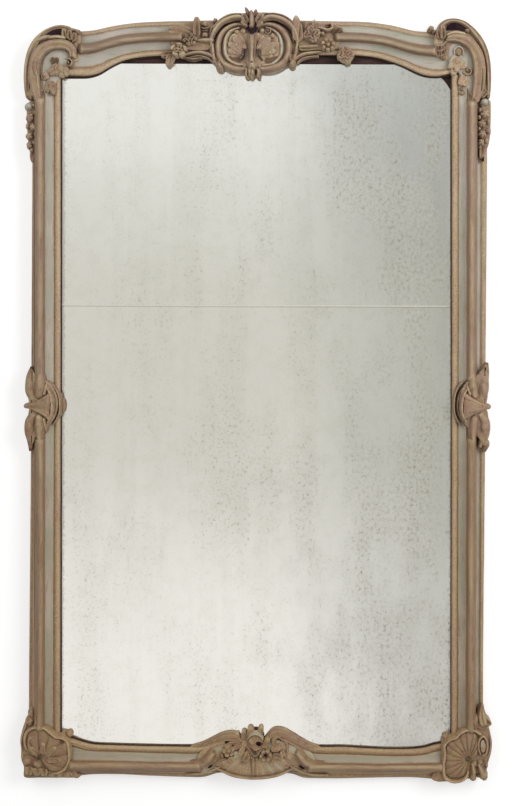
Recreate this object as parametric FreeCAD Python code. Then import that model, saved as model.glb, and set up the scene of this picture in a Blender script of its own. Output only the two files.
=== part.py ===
# Carved and painted wall mirror in the French manner of the eighteenth century.
# All lengths are millimetres. X runs to the right seen from the front, the front faces -Y, Z is up.
# The origin is on the wall plane, in the middle of the back of the middle cross batten.
import FreeCAD, Part
import math
import os

# Sight opening, measured from the origin
sight_half_width = 532.0
sight_drop = 955.0
sight_shoulder = 868.0
sight_arch_rise = 61.0

# Widths of the moulded members
stile_width = 94.0
shoulder_rail_width = 129.0
arch_rail_width = 98.0

# Mouldings, from the outer lip to the sight bead; heights are measured from the wall plane
lip_radius = 6.0
lip_height = 34.0
hollow_height = 27.0
torus_radius = 14.0
torus_height = 78.0
torus_inset = 38.0
torus_foot_height = 42.0
quirk_width = 3.0
quirk_height = 36.0
cove_top_height = 49.0
cove_middle_height = 40.0
bead_radius = 7.0
bead_height = 44.0
sight_margin = 4.0
sight_edge_height = 36.0

# Mirror plates, back boards and battens, stacked from the rebate towards the wall
plate_thickness = 5.0
board_thickness = 9.0
batten_thickness = 13.0
rebate_width = 12.0
edge_clearance = 1.5
plate_rise = 43.0
plate_seam = 248.0
left_shoulder_radius = 60.0
right_shoulder_radius = 130.0
board_count = 6
board_rise = 75.5
setting_block_length = 60.0
setting_block_inset = 250.0

# Cross battens
batten_width = 62.0
batten_housing = 40.0
batten_offset = 640.0
housing_clearance = 0.3

# Loose tongues in the corner joints
tongue_thickness = 12.0
tongue_length = 80.0
tongue_width = 34.0
tongue_back = 12.0

# Hanger straps and rings, let into the backs of the stiles
pocket_width = 52.0
pocket_below = 62.0
pocket_above = 56.0
pocket_depth = 14.0
hanger_level = 760.0
strap_width = 18.0
strap_length = 50.0
strap_thickness = 1.8
ring_wire_radius = 2.3
ring_inner_width = 30.0
ring_drop = 36.0
eye_clearance = 0.06

# Seats of the carvings on the face of the frame
carving_seat = 40.0
drop_seat = 27.0
seat_overrun = 100.0
ear_radius = 112.0
ear_centre_inset = 96.0
ear_centre_drop = 92.0
foot_ear_radius = 82.0
foot_ear_inset = 66.0
foot_ear_rise = 90.0

# Extents of the plain beds under the corner carvings
top_bed_inward = 44.0
top_bed_down = 48.0
foot_bed_inward = 60.0
foot_bed_up = 84.0
crest_bed_half_width = 98.0

# Corner scrolls and their leaf clusters
crescent_half_width = 9.0
crescent_height = 28.0
corner_band_half_width = 13.0
corner_band_height = 38.0
corner_leaf_size = 60.0
corner_leaf_height = 24.0
corner_leaf_bend = 24.0

# Flower drops
drop_top = 812.0
drop_size = 14.0
drop_height = 34.0
drop_leaf_length = 44.0

# Clasps
clasp_level = -30.0
clasp_size = 70.0
clasp_height = 42.0
clasp_scroll_half_width = 8.0
clasp_leaf_length = 88.0

# Bottom corner shells
foot_shell_radius = 80.0
foot_height = 34.0
foot_rim_half_width = 10.0
foot_rim_height = 30.0
foot_leaf_length = 44.0
foot_leaf_height = 24.0

# Crest cartouche
crest_centre = 948.0
crest_rim_radius = 86.0
crest_rim_half_width = 11.0
crest_rim_height = 40.0
crest_shell_radius = 74.0
crest_shell_height = 36.0
crest_scroll_radius = 112.0
crest_scroll_half_width = 10.0
crest_scroll_height = 46.0
crest_knob_radius = 11.0
crest_finial_length = 62.0
crest_finial_height = 52.0
crest_pendant_length = 44.0

# Sprays beside the crest
spray_size = 100.0
spray_height = 42.0

# Basket in the middle of the bottom rail
basket_radius = 88.0
basket_height = 40.0
basket_size = 100.0
basket_scroll_height = 36.0
basket_bed_share = 1.0

# Derived places
outer_half_width = sight_half_width + stile_width
sight_bottom = -sight_drop
outer_bottom = sight_bottom - stile_width
glass_height = batten_thickness + board_thickness + plate_thickness
rebate_half_width = sight_half_width + rebate_width
rebate_bottom = sight_bottom - rebate_width
plate_top = sight_shoulder + plate_rise
board_top = sight_shoulder + board_rise
rebate_top = board_top + edge_clearance
shoulder_top = sight_shoulder + shoulder_rail_width
arch_top = sight_shoulder + sight_arch_rise + arch_rail_width
ear_centre_x = outer_half_width - ear_centre_inset
ear_centre_z = shoulder_top - ear_centre_drop
foot_centre_x = outer_half_width - foot_ear_inset
foot_centre_z = outer_bottom + foot_ear_rise
eye_radius = ring_wire_radius + eye_clearance
barrel_radius = eye_radius + strap_thickness
hinge_height = pocket_depth - barrel_radius
hanger_x = outer_half_width - stile_width / 2
basket_bed_half_width = basket_size * basket_bed_share

# Course of the top rail from the stile to the middle, as shares of its half length and of the rise
inner_course_shares = [(0.0, 0.0), (0.13, 0.0), (0.19, 0.14), (0.23, 0.38), (0.27, 0.58), (0.32, 0.76),
                       (0.38, 0.88), (0.45, 0.96), (0.53, 1.0), (0.65, 0.92), (0.78, 0.58),
                       (1.0, 0.55)]
torus_course_shares = [(0.0, 0.0), (0.08, 0.0), (0.14, 0.07), (0.19, 0.2), (0.23, 0.37), (0.28, 0.6),
                       (0.34, 0.78), (0.42, 0.91), (0.53, 1.0), (1.0, 1.0)]
outer_course_shares = [(0.0, 0.0), (0.12, 0.0), (0.18, 0.22), (0.24, 0.46), (0.3, 0.65), (0.38, 0.8),
                       (0.48, 0.97), (0.56, 1.0), (0.7, 1.0), (1.0, 1.6)]
top_torus_inset = 63.0
top_torus_rise = 52.0

# Course of the bottom rail: how far its sight edge lifts beside the corner shells and the basket
bottom_lift_shares = [(0.0, 1.0), (0.1, 0.72), (0.17, 0.25), (0.24, 0.05), (0.4, 0.0), (0.68, 0.0),
                      (0.76, 0.3), (0.84, 1.0), (1.0, 1.6)]
basket_lift_share = 0.24
bottom_lift = basket_size * basket_lift_share
top_station_shares = [0.0, 0.08, 0.16, 0.25, 0.36, 0.5, 0.68, 0.84, 1.0]
bottom_station_shares = [0.0, 0.07, 0.16, 0.5, 0.84, 0.93, 1.0]

# Courses of the scrolls: degrees from outward, radius share and width share
crescent_course_shares = [(-38, 1.08, 0.6), (-12, 1.01, 1.0), (24, 0.96, 1.0), (52, 0.97, 1.0),
                          (78, 0.96, 1.0), (102, 0.95, 0.9), (116, 0.9, 0.7)]
corner_band_course_shares = [(-58, 0.98, 1.0), (-35, 0.83, 1.05), (-5, 0.72, 1.0), (30, 0.68, 1.0),
                             (60, 0.66, 1.0), (88, 0.62, 1.0), (115, 0.55, 0.95), (142, 0.42, 0.8)]
clasp_course_shares = [(-20, 1.0, 0.7), (30, 1.0, 1.0), (90, 1.0, 1.0), (150, 1.0, 1.0), (215, 0.9, 0.7)]
foot_rim_course_shares = [(126, 1.42, 0.6), (150, 1.12, 1.0), (183, 1.02, 1.0), (216, 0.95, 1.0),
                          (250, 0.92, 1.0), (285, 0.92, 1.0), (315, 0.85, 1.0), (345, 0.72, 0.9),
                          (380, 0.55, 0.8)]
crest_rim_course_shares = [(-84, 0.78, 0.8), (-50, 0.84, 0.9), (-10, 1.0, 1.0), (25, 0.98, 1.0),
                           (55, 0.86, 0.95), (75, 0.72, 0.8), (98, 0.58, 0.7)]
crest_scroll_course_shares = [(78, 0.93, 0.7), (56, 1.0, 1.0), (35, 1.05, 1.0), (12, 1.0, 0.9),
                              (-18, 0.94, 0.7), (-30, 0.94, 0.5)]

# Places of the carved leaves and flowers, as shares of the size of their group
corner_flower_share = (0.27, 0.04, 0.28)
corner_knob_share = (-0.1, 0.17, 0.16)
corner_leaf_shares = [(-78, 1.1, 0.2), (130, 0.67, 0.17), (60, 0.5, 0.15)]
drop_flower_shares = [(0.85, 1.1, 0, 0.1), (0.95, 1.6, 5, 0.2), (1.05, 1.7, 5, -0.1), (1.0, 1.8, 5, 0.2),
                      (0.85, 1.65, 0, 0.1)]
clasp_shell_share = (0.5, 1.0)
clasp_shell_angles = (120, 240)
clasp_scroll_share = (0.66, 0.37)
clasp_leaf_share = (0.54, 0.12, 0.17)
clasp_knob_share = (0.62, 0.18)
foot_hinge_share = (0.42, 0.5)
foot_shell_angles = (-35, 125)
foot_leaf_shares = [(-76, 0.62, -0.66, 1.22), (-94, 0.42, -0.74, 1.08), (150, -0.42, 0.28, 0.95),
                    (186, -0.3, -0.82, 1.1)]
crest_shell_share = (0.64, 1.4)
crest_shell_start = -8
crest_knob_share = (0.92, -0.43)
crest_finial_shares = [(122, 0.92, -20), (90, 1.0, 0), (60, 0.85, 20)]
crest_finial_start_share = 0.7
crest_pendant_start_share = 0.54
spray_flower_shares = [(1.5, -0.07, 0.11, 0), (1.72, -0.1, 0.11, 0), (1.88, -0.6, 0.18, 5),
                       (1.5, -0.76, 0.15, 5), (2.34, -0.84, 0.13, 4)]
spray_leaf_shares = [(1.95, -0.5, 6, 0.56, 0.12), (1.72, -0.3, 14, 0.5, 0.11),
                     (2.0, -0.7, -12, 0.44, 0.11), (1.45, -0.72, 72, 0.74, 0.13)]
basket_share = (0.72, 0.7)
basket_start = -8
basket_flower_shares = [(0.0, 1.18, 0.24, 0.46, 0), (-0.34, 1.32, 0.14, 0.36, 0),
                        (-0.6, 0.96, 0.18, 0.38, 5), (0.44, 0.94, 0.2, 0.4, 5), (0.26, 1.44, 0.14, 0.34, 4)]
basket_leaf_shares = [(0.05, 1.3, 92, 0.44), (0.3, 1.2, 30, 0.5), (-0.4, 1.16, 150, 0.5)]
basket_scroll_shares = [(1.72, 1.08, 0.07), (1.4, 1.2, 0.09), (1.08, 1.34, 0.1), (0.8, 1.4, 0.1),
                        (0.6, 1.3, 0.08)]
slim_leaf_share = 0.2
sliver_share = 0.02
pendant_width_share = 0.4
clasp_flutes = 5
foot_flutes = 6
crest_flutes = 7
basket_ribs = 7
bed_steps = 10
round_points = 4
ring_sides = 8
ring_steps = 10

# Sections and levels of the carving forms, as shares of half width, reach and height
scroll_section_shares = [(-1.0, 0.0), (-1.0, 0.5), (-0.45, 1.0), (0.45, 1.0), (1.0, 0.5), (1.0, 0.0)]
leaf_section_shares = [(-1.0, 0.0), (-1.0, 0.55), (0.0, 1.0), (1.0, 0.55), (1.0, 0.0)]
leaf_width_shares = [(0.5, 0.7), (0.95, 0.92), (0.76, 1.0), (0.9, 0.9), (0.5, 0.7), (0.0, 0.0)]
bud_level_shares = [(1.0, 0.0), (1.0, 0.45), (0.6, 0.9), (0.2, 1.0)]
flower_level_shares = [(1.0, 0.0), (1.0, 0.55), (0.62, 0.9), (0.4, 0.62), (0.22, 1.0)]
fan_level_shares = [(1.0, 0.0, 0.0, 0.0), (1.0, 0.7, 0.4, 0.3), (0.86, 0.92, 0.55, 0.5), (0.4, 0.8, 0.6, 0.7)]
fan_notch_share = 0.93
fan_hinge_share = 0.85
petal_notch_share = 0.34
bud_sides = 7
scroll_steps = 2


def at(x, height, z):
    return FreeCAD.Vector(x, -height, z)


def interpolate(table, share):
    """Value of a table of shares at one share, along smooth cubic pieces."""
    k = 0
    while k < len(table) - 2 and share > table[k + 1][0]:
        k += 1
    (s0, v0), (s1, v1) = table[k], table[k + 1]
    before = table[max(k - 1, 0)]
    after = table[min(k + 2, len(table) - 1)]
    slope0 = (v1 - before[1]) / (s1 - before[0]) * (s1 - s0)
    slope1 = (after[1] - v0) / (after[0] - s0) * (s1 - s0)
    t = (share - s0) / (s1 - s0)
    return (v0 * (2 * t ** 3 - 3 * t ** 2 + 1) + slope0 * (t ** 3 - 2 * t ** 2 + t)
            + v1 * (3 * t ** 2 - 2 * t ** 3) + slope1 * (t ** 3 - t ** 2))


def block(x0, x1, h0, h1, z0, z1):
    """Box between two corners, with heights measured from the wall plane."""
    return Part.makeBox(x1 - x0, h1 - h0, z1 - z0, at(x0, h1, z0))


def disc(x, z, radius, h0, h1):
    return Part.makeCylinder(radius, h1 - h0, at(x, h0, z), FreeCAD.Vector(0, -1, 0))


def save(shape, name):
    shape.exportStep(os.path.join("parts", name + ".step"))


# Carving forms, each a faceted solid with the footprint that it stands on


def facet_solid(rings):
    """Closed solid through rings of points; the first ring is flat, the last is flat or one point."""
    faces = []
    for low, high in zip(rings, rings[1:]):
        for i in range(len(low)):
            j = (i + 1) % len(low)
            if len(high) == 1:
                faces.append([low[i], low[j], high[0]])
            elif len(low) == 1:
                faces.append([low[0], high[j], high[i]])
            else:
                faces.append([low[i], low[j], high[j]])
                faces.append([low[i], high[j], high[i]])
    faces = [Part.Face(Part.makePolygon(points + points[:1])) for points in faces]
    for ring in (rings[0], rings[-1]):
        if len(ring) > 1:
            faces.append(Part.Face(Part.makePolygon(ring + ring[:1])))
    shell = Part.makeShell(faces)
    shell.sewShape()
    solid = Part.Solid(shell)
    if solid.Volume < 0:
        solid.reverse()
    return solid


def footprint(points):
    return Part.Face(Part.makePolygon(points + points[:1]))


def band(spine, seat, section_shares):
    """Carved band along a spine of (x, z, half width, height above the seat); returns solid and footprint."""
    rings = []
    for i, (x, z, half_width, height) in enumerate(spine):
        before = spine[max(i - 1, 0)]
        after = spine[min(i + 1, len(spine) - 1)]
        run = math.hypot(after[0] - before[0], after[1] - before[1])
        side_x = -(after[1] - before[1]) / run
        side_z = (after[0] - before[0]) / run
        if half_width > 0:
            ring = [at(x + side_x * across * half_width, seat + up * height, z + side_z * across * half_width)
                    for across, up in section_shares]
        else:
            ring = [at(x, seat, z)]
        rings.append(ring)
    left = [ring[0] for ring in rings]
    right = [ring[-1] for ring in rings if len(ring) > 1]
    return facet_solid(rings), footprint(left + right[::-1])


def boss(x, z, radius, height, seat, petals=0):
    """Carved bud, or a flower where it has petals; returns solid and footprint."""
    count = 2 * petals if petals else bud_sides
    levels = flower_level_shares if petals else bud_level_shares
    rings = []
    for reach, up in levels:
        ring = []
        for i in range(count):
            turn = 2 * math.pi * i / count
            notch = 1 - petal_notch_share * (i % 2) if petals else 1
            ring.append(at(x + radius * reach * notch * math.cos(turn), seat + height * up,
                           z + radius * reach * notch * math.sin(turn)))
        rings.append(ring)
    return facet_solid(rings), footprint(rings[0])


def leaf(x, z, angle, length, half_width, height, seat, bend=0.0):
    """Carved leaf from its root to its tip, with a sunk midrib and a bend in degrees."""
    spine = []
    steps = len(leaf_width_shares) - 1
    for i, (width, up) in enumerate(leaf_width_shares):
        spine.append((x, z, half_width * width, height * up))
        heading = math.radians(angle + bend * i / steps)
        x += length / steps * math.cos(heading)
        z += length / steps * math.sin(heading)
    return band(spine, seat, leaf_section_shares)


def scroll(x, z, size, half_width, height, seat, course, side=1):
    """Carved C scroll about a centre; the course gives (degrees, radius share, width share)."""
    spine = []
    steps = scroll_steps * (len(course) - 1)
    for i in range(steps + 1):
        place = i / scroll_steps
        k = min(int(place), len(course) - 2)
        part = place - k
        turn, reach, width = [a + (b - a) * part for a, b in zip(course[k], course[k + 1])]
        spine.append((x + side * size * reach * math.cos(math.radians(turn)),
                      z + size * reach * math.sin(math.radians(turn)), half_width * width, height))
    return band(spine, seat, scroll_section_shares)


def fan(x, z, radius, height, seat, start, end, flutes, squash=1.0):
    """Fluted shell that opens from its hinge at (x, z) between two angles; returns solid and footprint."""
    rings = []
    for reach, crest_up, valley_up, hinge_up in fan_level_shares:
        ring = [at(x, seat + height * hinge_up, z)]
        for i in range(2 * flutes + 1):
            turn = math.radians(start + (end - start) * i / (2 * flutes))
            edge = reach * (1 if i % 2 else fan_notch_share)
            up = crest_up if i % 2 else valley_up
            ring.append(at(x + radius * edge * math.cos(turn), seat + height * up,
                           z + radius * squash * edge * math.sin(turn)))
        rings.append(ring)
    rings.append([at(x, seat + height * fan_hinge_share, z)])
    return facet_solid(rings), footprint(rings[0])


def carving(forms, seats=()):
    """Join forms into one carving, clear of its neighbours; returns it with the room that it takes."""
    solid = forms[0][0]
    if len(forms) > 1:
        solid = solid.fuse([form for form, face in forms[1:]])
    for seat in seats:
        solid = solid.cut(seat)
    rooms = [face.extrude(at(0, seat_overrun, 0)) for form, face in forms]
    room = rooms[0].fuse(rooms[1:]) if len(rooms) > 1 else rooms[0]
    return whole(solid.removeSplitter()), room.removeSplitter()


def whole(shape):
    """Solid pieces of a shape without the slivers that a cut leaves."""
    solids = shape.Solids
    most = max(solid.Volume for solid in solids)
    kept = [solid for solid in solids if solid.Volume > most * sliver_share]
    return kept[0] if len(kept) == 1 else Part.makeCompound(kept)


def turned(angle, side):
    """Direction of a leaf, mirrored on the left side of the frame."""
    return angle if side > 0 else 180 - angle


def fan_angles(angles, side):
    """First and last angle of a fan, mirrored on the left side of the frame."""
    start, end = angles
    return (start, end) if side > 0 else (180 - end, 180 - start)


# Frame members


def moulding_wire(outer, torus, inner, place):
    """Section of a member from its outer face to its sight edge; place turns (across, height) to 3D."""
    inward = math.copysign(1, inner - outer)
    lip_end = outer + inward * 2 * lip_radius
    torus_out = torus - inward * torus_radius
    torus_in = torus + inward * torus_radius
    cove_out = torus_in + inward * quirk_width
    bead_in = inner - inward * sight_margin
    bead_out = bead_in - inward * 2 * bead_radius
    cove_in = bead_out - inward * quirk_width
    lip_foot = lip_height - lip_radius
    bead_foot = bead_height - bead_radius
    torus_side = torus_height - torus_radius

    def line(a, b):
        return Part.makeLine(place(*a), place(*b))

    def arc(a, middle, b):
        return Part.Arc(place(*a), place(*middle), place(*b)).toShape()

    return Part.Wire([
        line((outer, 0), (outer, lip_foot)),
        arc((outer, lip_foot), (outer + inward * lip_radius, lip_height), (lip_end, lip_foot)),
        arc((lip_end, lip_foot), ((lip_end + torus_out) / 2, hollow_height), (torus_out, torus_foot_height)),
        line((torus_out, torus_foot_height), (torus_out, torus_side)),
        arc((torus_out, torus_side), (torus, torus_height), (torus_in, torus_side)),
        line((torus_in, torus_side), (cove_out, cove_top_height)),
        arc((cove_out, cove_top_height), ((cove_out + cove_in) / 2, cove_middle_height),
            (cove_in, quirk_height)),
        line((cove_in, quirk_height), (bead_out, bead_foot)),
        arc((bead_out, bead_foot), (bead_out + inward * bead_radius, bead_height), (bead_in, bead_foot)),
        line((bead_in, bead_foot), (inner, sight_edge_height)),
        line((inner, sight_edge_height), (inner, 0)),
        line((inner, 0), (outer, 0)),
    ])


def rebate():
    """Room for the plates and the back boards, cut from all four members."""
    return block(-rebate_half_width, rebate_half_width, 0, glass_height, rebate_bottom, rebate_top)


def tongue(side, level):
    joint = side * sight_half_width
    half = tongue_length / 2
    return block(joint - half, joint + half, tongue_back, tongue_back + tongue_thickness,
                 level - tongue_width / 2, level + tongue_width / 2)


def top_tongue_level():
    return (rebate_top + shoulder_top) / 2


def bottom_tongue_level():
    return (rebate_bottom + outer_bottom) / 2


def hanger_pocket(side):
    x = side * hanger_x
    return block(x - pocket_width / 2, x + pocket_width / 2, 0, pocket_depth,
                 hanger_level - pocket_below, hanger_level + pocket_above)


def batten_levels():
    return [("upper", batten_offset), ("middle", 0), ("lower", -batten_offset)]


def stile(side, rooms):
    """Left or right stile: its moulded length with plain beds for the carvings at both ends."""
    outer = side * outer_half_width
    inner = side * sight_half_width
    torus = side * (outer_half_width - torus_inset)
    low = outer_bottom + foot_bed_up + stile_width
    high = sight_shoulder - top_bed_down
    sections = []
    for z in (low, high):
        wire = moulding_wire(outer, torus, inner, lambda across, height: at(across, height, z))
        sections.append(section_points(wire))
    body = facet_solid(sections)
    x0, x1 = sorted((inner, outer))
    foot = block(x0, x1, 0, carving_seat, outer_bottom, low)
    head = block(x0, x1, 0, carving_seat, high, ear_centre_z)
    ear = disc(side * ear_centre_x, ear_centre_z, ear_radius, 0, carving_seat)
    foot_ear = disc(side * foot_centre_x, foot_centre_z, foot_ear_radius, 0, carving_seat)
    x0, x1 = sorted((inner, inner + side * seat_overrun * 2))
    outside = block(x0, x1, 0, carving_seat, outer_bottom - seat_overrun, shoulder_top + seat_overrun)
    body = body.fuse([foot, head, ear.common(outside), foot_ear.common(outside)])
    for cutter in [rebate(), hanger_pocket(side)] + rooms:
        body = body.cut(cutter)
    for name, level in batten_levels():
        body = body.cut(batten(level, housing_clearance))
    for level in (top_tongue_level(), bottom_tongue_level()):
        body = body.cut(tongue(side, level))
    return whole(body.removeSplitter())


def top_lines(share):
    rise = interpolate(inner_course_shares, share)
    inner = sight_shoulder + sight_arch_rise * rise
    torus = shoulder_top - top_torus_inset + top_torus_rise * interpolate(torus_course_shares, share)
    outer = shoulder_top + (arch_top - shoulder_top) * interpolate(outer_course_shares, share)
    return outer, torus, inner


def bottom_lines(share):
    inner = sight_bottom + bottom_lift * interpolate(bottom_lift_shares, share)
    return outer_bottom, outer_bottom + torus_inset, inner


def rail_half(side, lines, bed, middle, stations):
    """Moulded half of a rail between its corner bed and its middle bed."""
    start = bed / sight_half_width
    end = 1 - middle / sight_half_width
    sections = []
    for step in stations:
        share = start + (end - start) * step
        x = side * sight_half_width * (1 - share)
        outer, torus, inner = lines(share)
        wire = moulding_wire(outer, torus, inner, lambda across, height: at(x, height, across))
        sections.append(section_points(wire))
    return facet_solid(sections)


def section_points(wire):
    """Corner points of a moulding section, with the same few points along each of its round edges."""
    points = []
    for edge in wire.OrderedEdges:
        round_edge = edge.Curve.TypeId == "Part::GeomCircle"
        stretch = edge.discretize(Number=round_points if round_edge else 2)
        start = edge.firstVertex(True).Point
        if (stretch[0] - start).Length > (stretch[-1] - start).Length:
            stretch.reverse()
        points += stretch[:-1]
    return points


def rail_bed(x0, x1, lines, count):
    """Plain bed of a rail between two places, with the rail's own outline."""
    outers = []
    inners = []
    for i in range(count + 1):
        x = x0 + (x1 - x0) * i / count
        outer, torus, inner = lines(1 - abs(x) / sight_half_width)
        outers.append(at(x, 0, outer))
        inners.append(at(x, 0, inner))
    return footprint(outers + inners[::-1]).extrude(at(0, carving_seat, 0))


def rail(lines, stations, corner_bed, middle_bed, ear, tongue_level, rooms):
    """Top or bottom rail, with tongue slots at its ends and a bed at each corner and in the middle."""
    parts = [rail_bed(-middle_bed, middle_bed, lines, bed_steps)]
    for side in (-1, 1):
        parts.append(rail_half(side, lines, corner_bed, middle_bed, stations))
        x0, x1 = sorted((side * (sight_half_width - corner_bed), side * sight_half_width))
        parts.append(rail_bed(x0, x1, lines, 1))
        parts.append(ear(side))
    body = parts[0].fuse(parts[1:])
    for cutter in [rebate()] + rooms:
        body = body.cut(cutter)
    for side in (-1, 1):
        body = body.cut(tongue(side, tongue_level))
    return whole(body.removeSplitter())


def top_ear(side):
    """Part of a rounded corner ear that belongs to the top rail."""
    ear = disc(side * ear_centre_x, ear_centre_z, ear_radius, 0, carving_seat)
    return ear.common(block(-sight_half_width, sight_half_width, 0, carving_seat, sight_shoulder,
                            shoulder_top + seat_overrun))


def bottom_ear(side):
    ear = disc(side * foot_centre_x, foot_centre_z, foot_ear_radius, 0, carving_seat)
    return ear.common(block(-sight_half_width, sight_half_width, 0, carving_seat, outer_bottom - seat_overrun,
                            sight_bottom))


# Glass, boards and battens


def plate(low, high, left_radius=0, right_radius=0):
    half = rebate_half_width - edge_clearance
    body = block(-half, half, glass_height - plate_thickness, glass_height, low, high)
    for side, radius in ((-1, left_radius), (1, right_radius)):
        if radius:
            edges = [edge for edge in body.Edges
                     if abs(edge.CenterOfMass.x - side * half) < edge_clearance
                     and abs(edge.CenterOfMass.z - high) < edge_clearance
                     and edge.Length < plate_thickness + edge_clearance]
            body = body.makeFillet(radius, edges)
    return body


def save_glass():
    save(plate(plate_seam, plate_top, left_shoulder_radius, right_shoulder_radius), "upper_mirror_plate")
    save(plate(rebate_bottom + edge_clearance, plate_seam), "lower_mirror_plate")
    for side, name in ((-1, "left"), (1, "right")):
        x = side * setting_block_inset
        block_solid = block(x - setting_block_length / 2, x + setting_block_length / 2,
                            glass_height - plate_thickness, glass_height, rebate_bottom,
                            rebate_bottom + edge_clearance)
        save(block_solid, name + "_setting_block")


def save_boards():
    half = rebate_half_width - edge_clearance
    low = rebate_bottom + edge_clearance
    step = (board_top - low) / board_count
    for i in range(board_count):
        board = block(-half, half, batten_thickness, batten_thickness + board_thickness, low + step * i,
                      low + step * (i + 1))
        save(board, "back_board_%d" % (i + 1))


def batten(level, clearance=0.0):
    reach = rebate_half_width + batten_housing + clearance
    half = batten_width / 2 + clearance
    return block(-reach, reach, 0, batten_thickness, level - half, level + half)


def save_battens():
    for name, level in batten_levels():
        save(batten(level), name + "_batten")


# Hangers


def hanger_strap(side):
    """Strap with a rolled eye at its lower end, on the floor of its pocket."""
    x = side * hanger_x
    half = strap_width / 2
    axis = FreeCAD.Vector(1, 0, 0)
    start = at(x - half, hinge_height, hanger_level)
    plate_part = block(x - half, x + half, pocket_depth - strap_thickness, pocket_depth, hanger_level,
                       hanger_level + strap_length)
    barrel = Part.makeCylinder(barrel_radius, strap_width, start, axis)
    return plate_part.fuse(barrel).cut(Part.makeCylinder(eye_radius, strap_width, start, axis))


def hanger_ring(side):
    """Ring of bent wire: a straight bar in the eye, two short legs and a round bow below."""
    x = side * hanger_x
    half = ring_inner_width / 2 + ring_wire_radius
    bow = hanger_level - ring_drop + half
    bar = Part.makeCylinder(ring_wire_radius, 2 * half, at(x - half, hinge_height, hanger_level),
                            FreeCAD.Vector(1, 0, 0))
    centres = [(x - half, hanger_level, -math.pi / 2)]
    for i in range(ring_steps + 1):
        turn = math.pi + math.pi * i / ring_steps
        centres.append((x + half * math.cos(turn), bow + half * math.sin(turn), turn + math.pi / 2))
    centres.append((x + half, hanger_level, math.pi / 2))
    rings = []
    for centre_x, z, heading in centres:
        ring = []
        for k in range(ring_sides):
            around = 2 * math.pi * k / ring_sides
            out = ring_wire_radius * math.cos(around)
            up = ring_wire_radius * math.sin(around)
            ring.append(at(centre_x + out * math.sin(heading), hinge_height + up,
                           z - out * math.cos(heading)))
        rings.append(ring)
    return bar.fuse(facet_solid(rings))


def save_hangers():
    for side, name in ((-1, "left"), (1, "right")):
        save(hanger_strap(side), name + "_hanger_strap")
        save(hanger_ring(side), name + "_hanger_ring")


# Carvings


def corner_scroll(side):
    """Outer crescent and inner C band that wrap a top corner, with the drop at the foot of the band."""
    x = side * ear_centre_x
    crescent = scroll(x, ear_centre_z, ear_radius, crescent_half_width, crescent_height, carving_seat,
                      crescent_course_shares, side)
    inner = scroll(x, ear_centre_z, ear_radius, corner_band_half_width, corner_band_height, carving_seat,
                   corner_band_course_shares, side)
    return [crescent, inner]


def corner_leaf(side):
    """Leaf cluster in the painted panel of a top corner."""
    size = corner_leaf_size
    forms = []
    for (out, up, reach), petals in ((corner_flower_share, 5), (corner_knob_share, 0)):
        forms.append(boss(side * (ear_centre_x + size * out), ear_centre_z + size * up, size * reach,
                          corner_leaf_height, carving_seat, petals))
    out, up, reach = corner_flower_share
    for angle, length, width in corner_leaf_shares:
        forms.append(leaf(side * (ear_centre_x + size * out), ear_centre_z + size * up, turned(angle, side),
                          size * length, size * width, corner_leaf_height, carving_seat,
                          side * corner_leaf_bend))
    return forms


def flower_drop(side):
    """Hanging drop of buds and flowers along the outer edge of a stile."""
    forms = []
    z = drop_top
    for reach, step, petals, sway in drop_flower_shares:
        z -= drop_size * step
        forms.append(boss(side * (outer_half_width + drop_size * sway), z, drop_size * reach, drop_height,
                          drop_seat, petals))
    forms.append(leaf(side * outer_half_width, z, -90, drop_leaf_length, drop_leaf_length * slim_leaf_share,
                      drop_height, drop_seat))
    return forms


def clasp(side):
    """Ribbed clasp round a stile: a shell between two leaves, with a knob over the glass."""
    x = outer_half_width - stile_width / 2
    out, reach = clasp_shell_share
    start, end = fan_angles(clasp_shell_angles, side)
    forms = [fan(side * (x + clasp_size * out), clasp_level, clasp_size * reach, clasp_height, carving_seat,
                 start, end, clasp_flutes)]
    for up in (-1, 1):
        course = [(turn * up, reach, width) for turn, reach, width in clasp_course_shares]
        offset, reach = clasp_scroll_share
        forms.append(scroll(side * x, clasp_level + up * clasp_size * offset, clasp_size * reach,
                            clasp_scroll_half_width, clasp_height, carving_seat, course, side))
        out, offset, width = clasp_leaf_share
        forms.append(leaf(side * (x + clasp_size * out), clasp_level + up * clasp_size * offset, up * 90,
                          clasp_leaf_length, clasp_size * width, clasp_height, carving_seat))
    inward, reach = clasp_knob_share
    forms.append(boss(side * (x - clasp_size * inward), clasp_level, clasp_size * reach, clasp_height,
                      carving_seat))
    return forms


def foot_shell(side):
    """Fluted shell with its rim scroll and leaves on a bottom corner."""
    radius = foot_shell_radius
    out, down = foot_hinge_share
    start, end = fan_angles(foot_shell_angles, -side)
    forms = [fan(side * (foot_centre_x + radius * out), foot_centre_z - radius * down, radius, foot_height,
                 carving_seat, start, end, foot_flutes)]
    rim = [(180 - turn if side > 0 else turn, reach, width) for turn, reach, width in foot_rim_course_shares]
    forms.append(scroll(side * foot_centre_x, foot_centre_z, foot_ear_radius, foot_rim_half_width,
                        foot_rim_height, carving_seat, rim))
    for angle, out, up, length in foot_leaf_shares:
        forms.append(leaf(side * (foot_centre_x + radius * out), foot_centre_z + radius * up,
                          turned(angle, side), foot_leaf_length * length, foot_leaf_length * slim_leaf_share,
                          foot_leaf_height, carving_seat))
    return forms


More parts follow.
